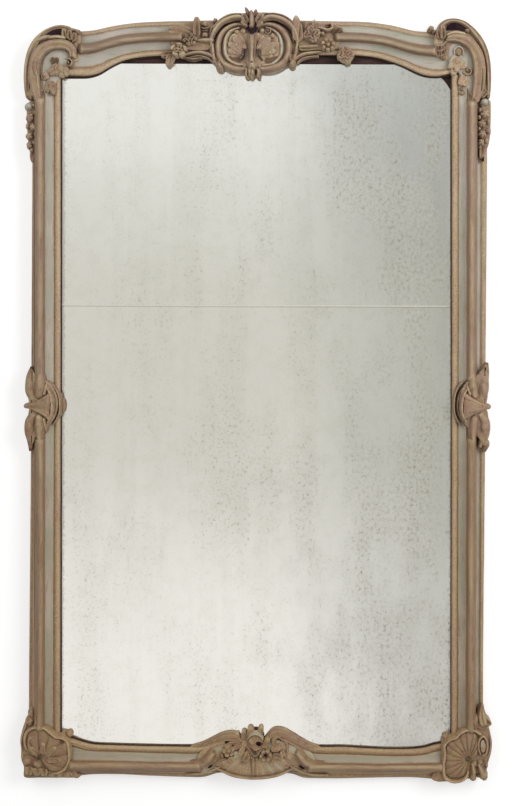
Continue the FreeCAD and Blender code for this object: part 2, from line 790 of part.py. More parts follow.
def save_frame(rooms):
    """Cut the seats of the carvings into the members, and save them with their corner tongues."""
    for side, name in ((-1, "left"), (1, "right")):
        save(stile(side, rooms[name]), name + "_stile")
        save(tongue(side, top_tongue_level()), "top_" + name + "_tongue")
        save(tongue(side, bottom_tongue_level()), "bottom_" + name + "_tongue")
    save(rail(top_lines, top_station_shares, top_bed_inward, crest_bed_half_width, top_ear,
              top_tongue_level(), rooms["top"]), "top_rail")
    save(rail(bottom_lines, bottom_station_shares, foot_bed_inward, basket_bed_half_width, bottom_ear,
              bottom_tongue_level(), rooms["bottom"]), "bottom_rail")


def crest():
    """Crest cartouche: its shell in a rim, C scrolls over both shoulders, a finial tuft and a pendant."""
    rim = scroll(0, crest_centre, crest_rim_radius, crest_rim_half_width, crest_rim_height, carving_seat,
                 crest_rim_course_shares)
    other = scroll(0, crest_centre, crest_rim_radius, crest_rim_half_width, crest_rim_height, carving_seat,
                   crest_rim_course_shares, -1)
    down, squash = crest_shell_share
    shell = fan(0, crest_centre - crest_rim_radius * down, crest_shell_radius, crest_shell_height,
                carving_seat, crest_shell_start, 180 - crest_shell_start, crest_flutes, squash)
    shell_carving, shell_room = carving([shell, rim, other])
    save(shell_carving, "crest_shell")
    pendant = [leaf(0, crest_centre - crest_rim_radius * crest_pendant_start_share, -90, crest_pendant_length,
                    crest_pendant_length * pendant_width_share, crest_rim_height, carving_seat)]
    pendant_carving, pendant_room = carving(pendant, [shell_room])
    save(pendant_carving, "crest_pendant")
    finial = [leaf(0, crest_centre + crest_rim_radius * crest_finial_start_share, angle,
                   crest_finial_length * length, crest_finial_length * slim_leaf_share, crest_finial_height,
                   carving_seat, bend) for angle, length, bend in crest_finial_shares]
    finial_carving, finial_room = carving(finial, [shell_room])
    save(finial_carving, "crest_finial")
    rooms = [shell_room, pendant_room, finial_room]
    for side, name in ((-1, "left"), (1, "right")):
        forms = [scroll(0, crest_centre, crest_scroll_radius, crest_scroll_half_width, crest_scroll_height,
                        carving_seat, crest_scroll_course_shares, side),
                 boss(side * crest_scroll_radius * crest_knob_share[0],
                      crest_centre + crest_scroll_radius * crest_knob_share[1], crest_knob_radius,
                      crest_scroll_height, carving_seat)]
        solid, room = carving(forms, [shell_room, finial_room])
        save(solid, "crest_%s_scroll" % name)
        rooms.append(room)
    return rooms


def spray(side, seats):
    """Spray of leaves, buds and flowers on the top rail beside the crest."""
    forms = []
    for out, up, reach, petals in spray_flower_shares:
        forms.append(boss(side * spray_size * out, arch_top + spray_size * up, spray_size * reach,
                          spray_height, carving_seat, petals))
    for out, up, angle, length, width in spray_leaf_shares:
        forms.append(leaf(side * spray_size * out, arch_top + spray_size * up, turned(angle, side),
                          spray_size * length, spray_size * width, spray_height, carving_seat))
    return carving(forms, seats)


def basket():
    """Ribbed basket with its scrolls and its bunch of flowers in the middle of the bottom rail."""
    rise, squash = basket_share
    bowl = fan(0, outer_bottom + basket_size * rise, basket_radius, basket_height, carving_seat, basket_start,
               -180 - basket_start, basket_ribs, squash)
    bowl_carving, bowl_room = carving([bowl])
    save(bowl_carving, "basket_bowl")
    flowers = [boss(basket_size * out, outer_bottom + basket_size * up, basket_size * reach,
                    basket_size * height, carving_seat, petals)
               for out, up, reach, height, petals in basket_flower_shares]
    for out, up, angle, length in basket_leaf_shares:
        flowers.append(leaf(basket_size * out, outer_bottom + basket_size * up, angle, basket_size * length,
                            basket_size * length * slim_leaf_share, basket_height, carving_seat))
    bunch_carving, bunch_room = carving(flowers, [bowl_room])
    save(bunch_carving, "basket_flowers")
    rooms = [bowl_room, bunch_room]
    for side, name in ((-1, "left"), (1, "right")):
        spine = [(side * basket_size * out, outer_bottom + basket_size * up, basket_size * width,
                  basket_scroll_height) for out, up, width in basket_scroll_shares]
        solid, room = carving([band(spine, carving_seat, scroll_section_shares)], [bowl_room, bunch_room])
        save(solid, "basket_%s_scroll" % name)
        rooms.append(room)
    return rooms


def main():
    os.makedirs("parts", exist_ok=True)
    crest_rooms = crest()
    rooms = {"top": list(crest_rooms), "bottom": basket(), "left": [], "right": []}
    for side, name in ((-1, "left"), (1, "right")):
        for label, forms, rail_name in (("top_%s_corner_scroll", corner_scroll(side), "top"),
                                        ("%s_flower_drop", flower_drop(side), None),
                                        ("%s_clasp", clasp(side), None),
                                        ("bottom_%s_shell", foot_shell(side), "bottom")):
            solid, room = carving(forms)
            save(solid, label % name)
            rooms[name].append(room)
            if rail_name:
                rooms[rail_name].append(room)
            if label.startswith("top"):
                cluster, cluster_room = carving(corner_leaf(side), [room])
                save(cluster, "top_%s_corner_leaf" % name)
                rooms[name].append(cluster_room)
                rooms["top"].append(cluster_room)
        solid, room = spray(side, crest_rooms)
        save(solid, name + "_spray")
        rooms["top"].append(room)
    save_frame(rooms)
    save_glass()
    save_boards()
    save_battens()
    save_hangers()


main()
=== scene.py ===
# Carved and painted wall mirror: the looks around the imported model.
# Places are in pixels of the 512 by 806 photograph, heights in millimetres above the wall plane.
import math
import bpy
import bmesh
import numpy as np
from mathutils import Matrix, Vector


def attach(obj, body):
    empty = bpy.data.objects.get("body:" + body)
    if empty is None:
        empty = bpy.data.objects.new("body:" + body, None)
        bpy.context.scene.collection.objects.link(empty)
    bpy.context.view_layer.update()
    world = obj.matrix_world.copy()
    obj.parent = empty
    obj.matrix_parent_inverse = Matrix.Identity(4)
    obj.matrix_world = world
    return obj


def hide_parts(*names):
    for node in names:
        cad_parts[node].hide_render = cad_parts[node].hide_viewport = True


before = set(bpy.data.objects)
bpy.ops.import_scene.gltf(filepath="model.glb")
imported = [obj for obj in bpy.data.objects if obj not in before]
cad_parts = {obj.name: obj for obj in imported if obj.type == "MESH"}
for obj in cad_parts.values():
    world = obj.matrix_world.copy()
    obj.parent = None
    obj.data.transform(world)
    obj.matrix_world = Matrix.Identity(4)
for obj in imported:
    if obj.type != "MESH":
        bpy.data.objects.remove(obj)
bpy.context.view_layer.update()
scene = bpy.context.scene

# Camera: its image plane is parallel to the wall, seen from a little right of and above the middle.
# Metres, and pixels of the photograph: PIXEL is the size of one at the height FACE above the wall.
IMAGE_WIDTH, IMAGE_HEIGHT = 512, 806
CAMERA_X, CAMERA_Z, CAMERA_REACH = 0.20, 0.20, 3.435
ROLL = math.radians(0.2)
PIXEL, FACE = 0.00274, 0.035
SENSOR = 36.0
LENS = SENSOR * (CAMERA_REACH - FACE) / (PIXEL * IMAGE_HEIGHT)
MIDDLE_PIXEL = (257.0, 396.0)


def camera_plane(dx, dz):
    """Offsets along the camera's own right and up."""
    return dx * math.cos(ROLL) + dz * math.sin(ROLL), dz * math.cos(ROLL) - dx * math.sin(ROLL)


def shifts():
    """Lens shifts that put the wall's middle on MIDDLE_PIXEL."""
    right, up = camera_plane(-CAMERA_X, -CAMERA_Z)
    share = 1 / (PIXEL * IMAGE_HEIGHT)
    return (right * share - (MIDDLE_PIXEL[0] - IMAGE_WIDTH / 2) / IMAGE_HEIGHT,
            up * share - (IMAGE_HEIGHT / 2 - MIDDLE_PIXEL[1]) / IMAGE_HEIGHT)


SHIFT_X, SHIFT_Z = shifts()


def place(x, y, height):
    """World x and z of a photograph pixel at a height above the wall, in metres."""
    right = (np.asarray(x, float) - IMAGE_WIDTH / 2) / IMAGE_HEIGHT + SHIFT_X
    up = (IMAGE_HEIGHT / 2 - np.asarray(y, float)) / IMAGE_HEIGHT + SHIFT_Z
    spread = PIXEL * IMAGE_HEIGHT * (CAMERA_REACH - height) / (CAMERA_REACH - FACE)
    dx = (right * math.cos(ROLL) - up * math.sin(ROLL)) * spread
    dz = (right * math.sin(ROLL) + up * math.cos(ROLL)) * spread
    return CAMERA_X + dx, CAMERA_Z + dz


def make_camera():
    data = bpy.data.cameras.new("camera")
    data.sensor_width = SENSOR
    data.lens = LENS
    data.shift_x, data.shift_y = SHIFT_X, SHIFT_Z
    data.clip_end = 60
    camera = bpy.data.objects.new("camera", data)
    camera.location = (CAMERA_X, -CAMERA_REACH, CAMERA_Z)
    camera.matrix_world = (Matrix.Translation(camera.location) @ Matrix.Rotation(math.radians(90), 4, "X")
                           @ Matrix.Rotation(ROLL, 4, "Z"))
    scene.collection.objects.link(camera)
    scene.camera = camera


# Forms: each is (points, faces, paint), where paint runs from -1, dark, over 0, gilding, to 1, grey-green paint;
# the darkest values are painted shade in holes, pits, grooves and along the glass

def hermite(low, high, slope_low, slope_high, t):
    """Cubic from low to high, as t runs from 0 to 1, with slopes for the whole way."""
    return (low * (2 * t**3 - 3 * t**2 + 1) + slope_low * (t**3 - 2 * t**2 + t) + high * (3 * t**2 - 2 * t**3)
            + slope_high * (t**3 - t**2))


def eased(value, low, high):
    """Smooth rise from 0 at low to 1 at high."""
    t = np.clip((value - low) / (high - low), 0, 1)
    return t * t * (3 - 2 * t)


def window(spot, rise, full, fall, end):
    """Smooth window: 0 before rise, 1 from full to fall, 0 from end."""
    return eased(spot, rise, full) * (1 - eased(spot, fall, end))


def spline(rows, count):
    """Smooth rows through a list of control rows, evenly spaced along their line."""
    rows = np.asarray(rows, float)
    steps = np.hypot(*np.diff(rows[:, :2], axis=0).T)
    at = np.concatenate([[0], np.cumsum(np.maximum(steps, 1e-6))])
    slopes = np.empty_like(rows)
    slopes[0] = (rows[1] - rows[0]) / (at[1] - at[0])
    slopes[-1] = (rows[-1] - rows[-2]) / (at[-1] - at[-2])
    if len(rows) > 2:
        slopes[1:-1] = (rows[2:] - rows[:-2]) / (at[2:] - at[:-2])[:, None]
    s = np.linspace(0, at[-1], count)
    k = np.clip(np.searchsorted(at, s, side="right") - 1, 0, len(rows) - 2)
    width = at[k + 1] - at[k]
    t = ((s - at[k]) / width)[:, None]
    width = width[:, None]
    return hermite(rows[k], rows[k + 1], slopes[k] * width, slopes[k + 1] * width, t)


def loft(rings, paint):
    """Skin over closed rings, an array of rings by points by 3, with both ends capped."""
    rings = np.array(rings)
    m, k = rings.shape[:2]
    index = np.arange(m * k).reshape(m, k)
    low, high = index[:-1], index[1:]
    sides = np.stack([low, np.roll(low, -1, axis=1), np.roll(high, -1, axis=1), high], axis=-1)
    faces = sides.reshape(-1, 4).tolist() + [index[0][::-1].tolist(), index[-1].tolist()]
    return rings.reshape(-1, 3), faces, np.broadcast_to(paint, (m, k)).reshape(-1)


def foot(seat, base):
    """Height of a form's underside: its base, or 10 mm below its seat."""
    return seat - 10 if base is None else base


def many(make, rows, **same):
    """Forms from rows of numbers, with settings that all of them share."""
    return [make(*row, **same) for row in rows]


ROUND = [(math.sin(a), math.cos(a), 0) for a in np.linspace(-math.pi / 2, math.pi / 2, 13)]
BAND = [(-1, 0, 0), (-0.98, 0.5, 0), (-0.88, 0.8, 0), (-0.72, 0.92, 0), (-0.56, 0.9, 0), (-0.42, 0.86, 0.1),
    (-0.2, 0.92, 0), (0.06, 0.98, 0), (0.3, 1, 0), (0.5, 0.97, 0), (0.66, 0.88, 0), (0.76, 0.84, 0.1),
    (0.86, 0.8, 0), (0.95, 0.6, 0), (1, 0.3, 0), (1, 0, 0)]
LEAF = [(-1, 0, 0.1), (-0.99, 0.36, 0.1), (-0.86, 0.66, 0.05), (-0.64, 0.86, 0), (-0.42, 0.96, 0),
    (-0.22, 0.97, 0), (-0.09, 0.91, 0.1), (0, 0.87, 0.15), (0.09, 0.91, 0.1), (0.22, 0.97, 0), (0.42, 0.96, 0),
    (0.64, 0.86, 0), (0.86, 0.66, 0.05), (0.99, 0.36, 0.1), (1, 0, 0.1)]


def sweep(points, seat=34, base=None, paint=0.0, section=ROUND, lobes=0, cut=0.3, groove=0.3, ends=(True, True),
          fine=1.6):
    """Carved strip along control points (x, y, half width) in pixels with its height in millimetres.

    Its profile, the section, is a row of (share across, share of the height above the seat, paint). Lobes cut
    leaf edges and grooves into it, and ends says which of its two ends are rounded off.
    """
    rows = np.asarray(points, float)
    length = np.hypot(*np.diff(rows[:, :2], axis=0).T).sum()
    rows = spline(rows, max(6, int(length * fine)))
    for end, on in ((0, ends[0]), (-1, ends[1])):
        if on:
            other = 1 if end == 0 else -2
            heading = rows[end, :2] - rows[other, :2]
            heading /= max(np.hypot(*heading), 1e-9)
            extra = []
            for share in (0.42, 0.74, 0.93, 1.0):
                row = rows[end].copy()
                row[:2] += heading * rows[end, 2] * share
                row[2] *= math.sqrt(max(1 - share**2, 0.006))
                row[3] = seat + (row[3] - seat) * (1 - 0.5 * share**2)
                extra.append(row)
            rows = np.vstack([extra[::-1], rows]) if end == 0 else np.vstack([rows, extra])
    top = rows[:, 3] / 1000
    x, z = place(rows[:, 0], rows[:, 1], top)
    run = np.stack([np.gradient(x), np.gradient(z)], axis=1)
    run /= np.maximum(np.hypot(*run.T), 1e-9)[:, None]
    across, up, colour = (np.array(column, float) for column in zip(*section))
    u = np.linspace(0, 1, len(rows))
    half = rows[:, 2] * PIXEL
    depth = np.ones((len(rows), len(across)))
    if lobes:
        phase = (u[:, None] * lobes - 0.4 * np.abs(across)[None]) % 1
        bulge = np.sin(math.pi * phase) ** 0.55
        half = half * (1 - cut * (1 - np.sin(math.pi * ((u * lobes - 0.4) % 1)) ** 0.55))
        depth = 1 - groove * (1 - bulge) * np.abs(across)[None]
    low = np.full((len(rows), 1), foot(seat, base) / 1000)
    level = seat / 1000 + (top - seat / 1000)[:, None] * up[None] * depth
    px = x[:, None] - run[:, 1:] * across[None] * half[:, None]
    pz = z[:, None] + run[:, :1] * across[None] * half[:, None]
    px = np.concatenate([px[:, :1], px, px[:, -1:]], axis=1)
    pz = np.concatenate([pz[:, :1], pz, pz[:, -1:]], axis=1)
    level = np.concatenate([low, level, low], axis=1)
    tone = np.clip(np.concatenate([colour[:1], colour, colour[-1:]]) + paint, -1, 1)
    return loft(np.stack([px, -level, pz], axis=-1), tone[None])


def leaf(points, seat=34, cut=0.05, groove=0.2, base=None):
    """Carved leaf of one lobe along its midrib."""
    return sweep(points, seat, base, section=LEAF, lobes=1, cut=cut, groove=groove, ends=(False, True), fine=2.4)


def dome(x, y, rx, ry, height, angle=0.0, creases=0, paint=0.0, seat=34, base=None):
    """Bud, berry or knob, with creases that meet at its top."""
    turn = np.linspace(0, 2 * math.pi, 28, endpoint=False)
    slope = np.linspace(0.06, math.pi / 2, 9)
    reach, rise = np.sin(slope), np.cos(slope) ** 0.8
    crease = 1 - 0.16 * (1 - np.abs(np.sin(turn * creases / 2)) ** 0.6) if creases else np.ones_like(turn)
    cx, cz = place(x, y, height / 1000)
    out = rx * PIXEL * reach[:, None] * np.cos(turn)[None] * crease
    side = ry * PIXEL * reach[:, None] * np.sin(turn)[None] * crease
    c, s = math.cos(math.radians(angle)), math.sin(math.radians(angle))
    level = seat + (height - seat) * rise[:, None] * (1 - (1 - crease)[None] * reach[:, None])
    out, side = np.vstack([out, out[-1:]]), np.vstack([side, side[-1:]])
    level = np.vstack([level, np.full((1, len(turn)), foot(seat, base))])
    return loft(np.stack([cx + out * c - side * s, -level / 1000, cz + out * s + side * c], axis=-1), paint)


def flower(x, y, radius, petals, height, seat=34, turn=0.0, paint=0.0, base=None, squash=1.0):
    """Open flower with a button in its middle; its levels are (share outward, share of the height)."""
    angle = np.linspace(0, 2 * math.pi, petals * 10, endpoint=False) + math.radians(turn)
    petal = np.abs(np.cos((angle - math.radians(turn)) * petals / 2)) ** 0.5
    levels = [(0.02, 0.96), (0.12, 0.95), (0.2, 0.87), (0.25, 0.76), (0.3, 0.7), (0.38, 0.73), (0.52, 0.85),
              (0.68, 0.96), (0.82, 1.0), (0.93, 0.86), (1.0, 0.55), (1.0, 0.0)]
    rings = []
    cx, cz = place(x, y, height / 1000)
    for reach, up in levels:
        gap = (1 - petal) * (reach > 0.3)
        r = radius * PIXEL * reach * (1 - 0.3 * gap * reach)
        h = seat + (height - seat) * up * (1 - 0.34 * gap * reach) if up else foot(seat, base)
        rings.append(np.stack([cx + r * np.cos(angle), np.broadcast_to(-h / 1000, angle.shape),
                               cz + r * np.sin(angle) * squash], axis=-1))
    return loft(rings, paint)


def fan(hinge, rim, flutes, heights, seat=34, scallop=0.1, groove=0.3, paint=0.0, base=None, valley=0.6):
    """Fluted shell between its hinge and the points of its rim; heights are (share outward, millimetres)."""
    count = flutes * 12 + 1
    edge = spline([(px, py, 0) for px, py in rim], count)
    tau = np.linspace(0, 1, count)
    ridge = np.abs(np.sin(math.pi * flutes * tau)) ** 0.6
    reach = np.linspace(0, 1, 20)
    up = np.interp(reach, *zip(*heights))
    rings, tones = [], []
    for k in range(count):
        shares = reach * (1 - scallop * (1 - ridge[k]))
        level = seat + (up - seat) * (1 - groove * (1 - ridge[k]) * np.minimum(reach * 3, 1))
        x, z = place(hinge[0] + (edge[k, 0] - hinge[0]) * shares, hinge[1] + (edge[k, 1] - hinge[1]) * shares,
                     np.full_like(shares, up.max() / 1000))
        ring = np.stack([x, -level / 1000, z], axis=-1)
        under = ring[[-1, 0]].copy()
        under[:, 1] = -foot(seat, base) / 1000
        rings.append(np.vstack([ring, under]))
        tone = np.full(20, paint) + valley * (1 - ridge[k]) * np.minimum(reach * 2, 1)
        tones.append(np.concatenate([tone, [0, 0]]))
    return loft(rings, np.clip(np.array(tones), -1, 1))


def lobe(x, y, angle, length, width, height, paint=0.0, flutes=2, seat=34, base=None, root=0.7, curl=0.0):
    """Short ruffled leaf that opens from its root; the angle runs from the right, anticlockwise."""
    rim = []
    for t in np.linspace(-1, 1, 9):
        a = t * math.pi / 2 * 0.94
        turn = math.radians(angle + curl * math.cos(a))
        out, off = length * math.cos(a) ** 0.8, width * math.sin(a)
        rim.append((x + out * math.cos(turn) - off * math.sin(turn),
                    y - out * math.sin(turn) - off * math.cos(turn)))
    rise = height - seat
    levels = [(0, seat + rise * root), (0.4, seat + rise * 0.84), (0.78, height), (0.94, seat + rise * 0.9),
              (1, seat + rise * 0.6)]
    return fan((x, y), rim, flutes, levels, seat, 0.1, 0.16, paint, base, 0.1)


def volute(x, y, radius, height, seat, start, turns, side, width):
    """Curled end of a scroll with a bead in its eye; it starts at an angle in degrees, and side is its hand."""
    rows = []
    for t in np.linspace(0, 1, 12):
        a = math.radians(start) + side * t * turns * 2 * math.pi
        r = radius * (1 - 0.78 * t)
        rows.append((x + r * math.cos(a), y - r * math.sin(a), radius * width * (1 - 0.5 * t),
                     seat + (height - seat) * (0.8 + 0.2 * t)))
    return [sweep(rows, seat, fine=3.0), dome(x, y, radius * 0.3, radius * 0.3, height + 2, seat=seat)]


def slab(outline, low, high, paint=0.0, edge=3.0):
    """Flat piece of wood with a rounded front edge, inside a smooth outline through points in pixels."""
    outline = np.asarray(outline, float)
    outline = spline(np.vstack([outline, outline[:1]]), len(outline) * 12)[:-1]
    x, z = place(outline[:, 0], outline[:, 1], high / 1000)
    points = np.stack([x, z], axis=1)
    along = np.roll(points, -1, axis=0) - np.roll(points, 1, axis=0)
    along /= np.maximum(np.hypot(*along.T), 1e-9)[:, None]
    area = np.sum(points[:, 0] * np.roll(points[:, 1], -1) - np.roll(points[:, 0], -1) * points[:, 1])
    inward = np.stack([-along[:, 1], along[:, 0]], axis=1) * math.copysign(1, area)
    rings = []
    for inset, level in ((0, low), (0, high - edge), (0.13 * edge, high - 0.5 * edge),
                         (0.5 * edge, high - 0.13 * edge), (edge, high)):
        ring = points + inward * inset / 1000
        rings.append(np.stack([ring[:, 0], np.full(len(ring), -level / 1000), ring[:, 1]], axis=-1))
    return loft(rings, paint)


def uneven(points, size):
    """Small waves of hand carving."""
    x, y, z = points.T
    wave = (np.sin(x * 61 + z * 23 + 1.3) + np.sin(z * 83 - x * 37 + y * 90)
            + 0.6 * np.sin(x * 171 + z * 143 + y * 60) + 0.6 * np.sin(z * 211 - x * 190 + 2.1)) / 3.2
    other = (np.sin(x * 71 - z * 31 + 0.4) + np.sin(z * 67 + x * 49 - y * 80)
             + 0.6 * np.sin(x * 160 - z * 173)) / 2.6
    return points + np.stack([other * size * 0.6, wave * size, other * size * 0.6], axis=1)


def outward(points, faces):
    """Faces of a closed form, all turned to look outward."""
    quads = points[np.array([face for face in faces if len(face) == 4])]
    a, b, c, d = quads.transpose(1, 0, 2)
    size = np.sum(a * np.cross(b, c)) + np.sum(a * np.cross(c, d))
    for face in faces:
        if len(face) != 4:
            corners = points[face]
            size += np.sum(corners[0] * np.cross(corners[1:-1], corners[2:]))
    return faces if size > 0 else [face[::-1] for face in faces]


def piece(name, forms, body, material, replaced=(), rough=0.0006, sharp=48):
    """Join forms into one object that stands for the named nodes and rides on a body.

    Rough is the size in metres of its hand-carved waves, and sharp the angle in degrees from which edges show.
    """
    points, faces, paint, start = [], [], [], 0
    for form_points, form_faces, form_paint in forms:
        points.append(form_points)
        faces += [[i + start for i in face] for face in outward(form_points, form_faces)]
        paint.append(form_paint)
        start += len(form_points)
    points = np.vstack(points)
    if rough:
        points = uneven(points, rough)
    points[:, 1] = np.minimum(points[:, 1], 0)
    mesh = bpy.data.meshes.new(name)
    mesh.from_pydata(points.tolist(), [], faces)
    tone = mesh.attributes.new("paint", "FLOAT", "POINT")
    tone.data.foreach_set("value", np.concatenate(paint).astype(np.float32))
    for polygon in mesh.polygons:
        polygon.use_smooth = True
    mesh.set_sharp_from_angle(angle=math.radians(sharp))
    mesh.materials.append(material)
    item = bpy.data.objects.new(name, mesh)
    scene.collection.objects.link(item)
    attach(item, body)
    if replaced:
        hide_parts(*replaced)
    return item


# Mouldings. The section's rows are (line, height in millimetres, paint). Each row of a member's table is a place
# along it and its nine lines there, in pixels, from the outer edge over hollow, torus, cove and bead to the sight.
# GLASS_LEVEL and SUNK_TORUS, the torus's height under a carving, are in millimetres, the rebate's sides and
# SEAM_HEIGHT, where the two plates meet, in metres.
GLASS_LEVEL, REBATE_SIDE, REBATE_TOP, REBATE_BOTTOM = 27.3, 0.544, 0.945, -0.967
SUNK_TORUS, SEAM_HEIGHT = 44, 0.248
# The section's last rows, at the sight edge beside the glass, are painted near black: painted shade in the gap at
# the glass.
SECTION = [(0, 0, 0.2), (0, 14, 0.2), (0, 27, 0.1), (0.08, 30.6, 0.05), (0.25, 33.2, 0.05), (0.5, 34, 0.1),
    (0.75, 33.2, 0.15), (0.95, 31, 0.5), (1, 30, 0.8), (1.15, 28.6, 0.95), (1.4, 27.6, 1), (1.65, 28.4, 1),
    (1.85, 31.5, 0.9), (1.97, 37, 0.5), (2, 44, 0.1), (2, 52, 0), (2.03, 58, 0), (2.1, 64, -0.06),
    (2.2, 68.6, -0.06), (2.34, 72.2, -0.06), (2.5, 73.6, -0.06), (2.66, 72.2, -0.06), (2.8, 68.6, -0.06),
    (2.9, 64, -0.06), (2.97, 58, 0), (3, 52, 0), (3.02, 48.5, 0.1), (3.5, 47.8, 0.3), (3.98, 47.4, 0.6),
    (4.04, 46.4, 0.9), (4.2, 44.4, 1), (4.4, 42.8, 1), (4.6, 41.6, 1), (4.8, 40.8, 0.9), (5, 40.4, 0.6),
    (5.5, 39.4, 0.2), (6, 38.6, 0), (6.08, 40.8, 0.12), (6.25, 43.2, 0.12), (6.5, 44.6, 0.12),
    (6.75, 43.2, 0.12), (6.92, 40.4, 0.12), (7, 37.8, 0), (7.12, 35.4, -0.5), (7.6, 32, -0.8), (8, 29.2, -0.9),
    (8, GLASS_LEVEL, -0.9)]
LEFT_LINES = [(0, 33, 33.6, 34, 44.8, 45.8, 53.2, 54.2, 60.6, 62.4), (150, 32.4, 33.4, 34, 44.8, 45.8, 53.2,
    54.2, 60.6, 62.2), (280, 31.8, 33.2, 34, 44.8, 45.8, 53.2, 54.2, 60.6, 62), (500, 30.6, 33.2, 34.6, 44.8,
    45.6, 53, 54, 60.4, 61.8), (640, 29.4, 32, 34, 44.6, 45.4, 52.6, 53.6, 60.2, 61.8),
    (800, 28.2, 31, 33.6, 44.4, 45.4, 52.6, 53.6, 60.2, 61.8)]
RIGHT_LINES = [(0, 487.8, 480.8, 477.4, 467.2, 466, 459.4, 458.4, 451.8, 450.4), (200, 486.8, 480.8, 477.4,
    467.2, 466, 459.4, 458.4, 451.8, 450.4), (350, 485.6, 480.6, 476.8, 467, 465.8, 459.2, 458.2, 451.8, 450.6),
    (500, 484.6, 480.2, 476.2, 466.6, 465.6, 458.8, 457.8, 451.6, 450.6), (640, 483.2, 479.6, 475.8, 466.2,
    465.2, 458.6, 457.6, 451.4, 450.4), (800, 482.6, 479.2, 475.4, 465.8, 464.8, 458.6, 457.6, 451.4, 450.4)]
TOP_LINES = [(60, 32, 36.6, 43.6, 54.2, 55.4, 66.4, 67.6, 74.4, 78.4), (78, 31.4, 36, 43.4, 54, 55.4, 66.8, 68,
    75.6, 78.6), (90, 30.8, 35.4, 42.8, 53.4, 54.8, 66.2, 67.4, 75.4, 78), (100, 29.2, 33.8, 40.8, 51.2, 52.4,
    63.4, 64.6, 72.6, 74.8), (108, 27.2, 31.8, 38.4, 48.6, 49.8, 59.6, 60.6, 68, 70),
    (116, 25.6, 30.2, 36.4, 46.4, 47.6, 56.6, 57.6, 63.8, 65.4), (125, 24.2, 28.6, 34.6, 44.4, 45.6, 53.6, 54.6,
    60.2, 61.8), (136, 23, 27.4, 33.4, 43, 44, 51.4, 52.4, 57.8, 59.4), (150, 22, 26.4, 32.4, 42, 43, 50, 51,
    56.4, 57.8), (170, 21.4, 26, 32, 41.6, 42.6, 49.4, 50.4, 55.6, 56.6), (190, 21, 25.6, 31.8, 41.4, 42.4, 49,
    50, 55.6, 56.6), (205, 20.6, 25.2, 31.4, 41.2, 42.2, 50.6, 52, 58.4, 59.6), (214, 20.6, 25.2, 31.4, 41.2,
    42.4, 53.6, 55.8, 62.8, 64.2), (254, 22, 26, 31, 41, 42, 56, 58, 64, 66), (292, 20.6, 25.2, 31.4, 41, 42.4,
    55, 57.6, 64.2, 65.6), (300, 20.6, 25.2, 31.4, 41, 42.2, 51.2, 53, 59.6, 61), (312, 20.8, 25.4, 31.6, 41.2,
    42.2, 48.6, 49.6, 55.8, 57), (340, 21.4, 26, 32.2, 41.6, 42.6, 48.6, 49.6, 55.2, 56.2),
    (360, 21.8, 26.4, 33, 42.2, 43.2, 48.8, 49.8, 55.6, 56.8), (376, 23, 27.8, 34.6, 43.8, 44.8, 50.8, 51.8,
    57.6, 59), (388, 24.8, 29.8, 36.8, 46.2, 47.2, 53.8, 54.8, 60.8, 62.4), (396, 26.4, 31.6, 38.8, 48.4, 49.4,
    56.4, 57.4, 63.4, 65), (405, 28.6, 33.8, 41.4, 51.2, 52.2, 59.8, 60.8, 67, 68.8),
    (415, 31, 36, 43.8, 53.8, 55, 64.2, 65.2, 71.6, 73.8), (425, 32, 37.4, 45.2, 55.4, 56.6, 67.2, 68.4, 75.2,
    77.2), (436, 32.8, 38.2, 46, 56.2, 57.6, 68.8, 70.2, 76.4, 78.2), (446, 33, 38.6, 46, 56.4, 57.6, 68.4,
    69.6, 74.8, 76.8), (456, 33, 38.6, 46, 56.4, 57.6, 66, 67, 72, 74)]
BOTTOM_LINES = [(58, 776.8, 773.6, 771.4, 760.8, 759.6, 745, 743.6, 737, 735), (72, 776.8, 773.6, 771.4, 760.8,
    759.6, 747.4, 746.2, 738.6, 736), (84, 775, 772.8, 771.4, 760.8, 759.6, 750.2, 749, 742.2, 740),
    (95, 774.2, 772.6, 771.4, 760.8, 759.8, 751.8, 750.8, 744.4, 742.6), (120, 774.2, 772.6, 771.4, 761.2,
    760.2, 752.6, 751.6, 745.4, 744), (150, 775.6, 773, 771.4, 762, 761, 753.6, 752.6, 746.2, 745),
    (190, 777, 773.6, 771.8, 762.4, 761.4, 754.4, 753.4, 746.6, 745.4), (204, 776.8, 773.6, 771.8, 762.4, 761.4,
    753.6, 752.4, 745.4, 744.2), (218, 773, 772.6, 771.8, 762.4, 761.4, 748.4, 747.2, 740.6, 739.4),
    (255, 772, 771.6, 770, 762, 761, 744, 742.6, 736, 735), (291, 773.6, 773.2, 772.2, 762.8, 761.8, 746.4,
    745.2, 738.4, 737.2), (303, 777.4, 774.2, 772.2, 762.8, 761.8, 751.8, 750.6, 743.8, 742.6),
    (316, 778.2, 774.6, 772.2, 762.8, 761.8, 754.4, 753.4, 746.6, 745.2), (345, 778.2, 774.4, 772.2, 763.2,
    762.2, 755, 754, 747, 745.6), (370, 777.6, 774, 772.2, 763.8, 762.8, 756.2, 755.2, 748.4, 746.8),
    (395, 777.2, 774, 772.2, 763.8, 762.8, 756.8, 755.8, 749.2, 747.4), (410, 777.2, 774, 772.2, 763.6, 762.6,
    756.8, 755.8, 749, 747), (424, 778, 774.2, 772.2, 763.4, 762.4, 755.4, 754.4, 747.6, 745.4),
    (436, 779, 774.4, 772.2, 763.2, 762.2, 752.4, 751.4, 744.4, 742.4), (456, 779, 774.4, 772.2, 763.2, 762.2,
    748.4, 747.4, 741.4, 739.4)]


def line_table(table, at):
    """Lines of a table at one place, along smooth cubic pieces."""
    table = np.asarray(table, float)
    k = int(np.clip(np.searchsorted(table[:, 0], at, side="right") - 1, 0, len(table) - 2))
    before, after = table[max(k - 1, 0)], table[min(k + 2, len(table) - 1)]
    low, high = table[k], table[k + 1]
    width = high[0] - low[0]
    slope_low = (high[1:] - before[1:]) / (high[0] - before[0]) * width
    slope_high = (after[1:] - low[1:]) / (after[0] - low[0]) * width
    return hermite(low[1:], high[1:], slope_low, slope_high, (at - low[0]) / width)


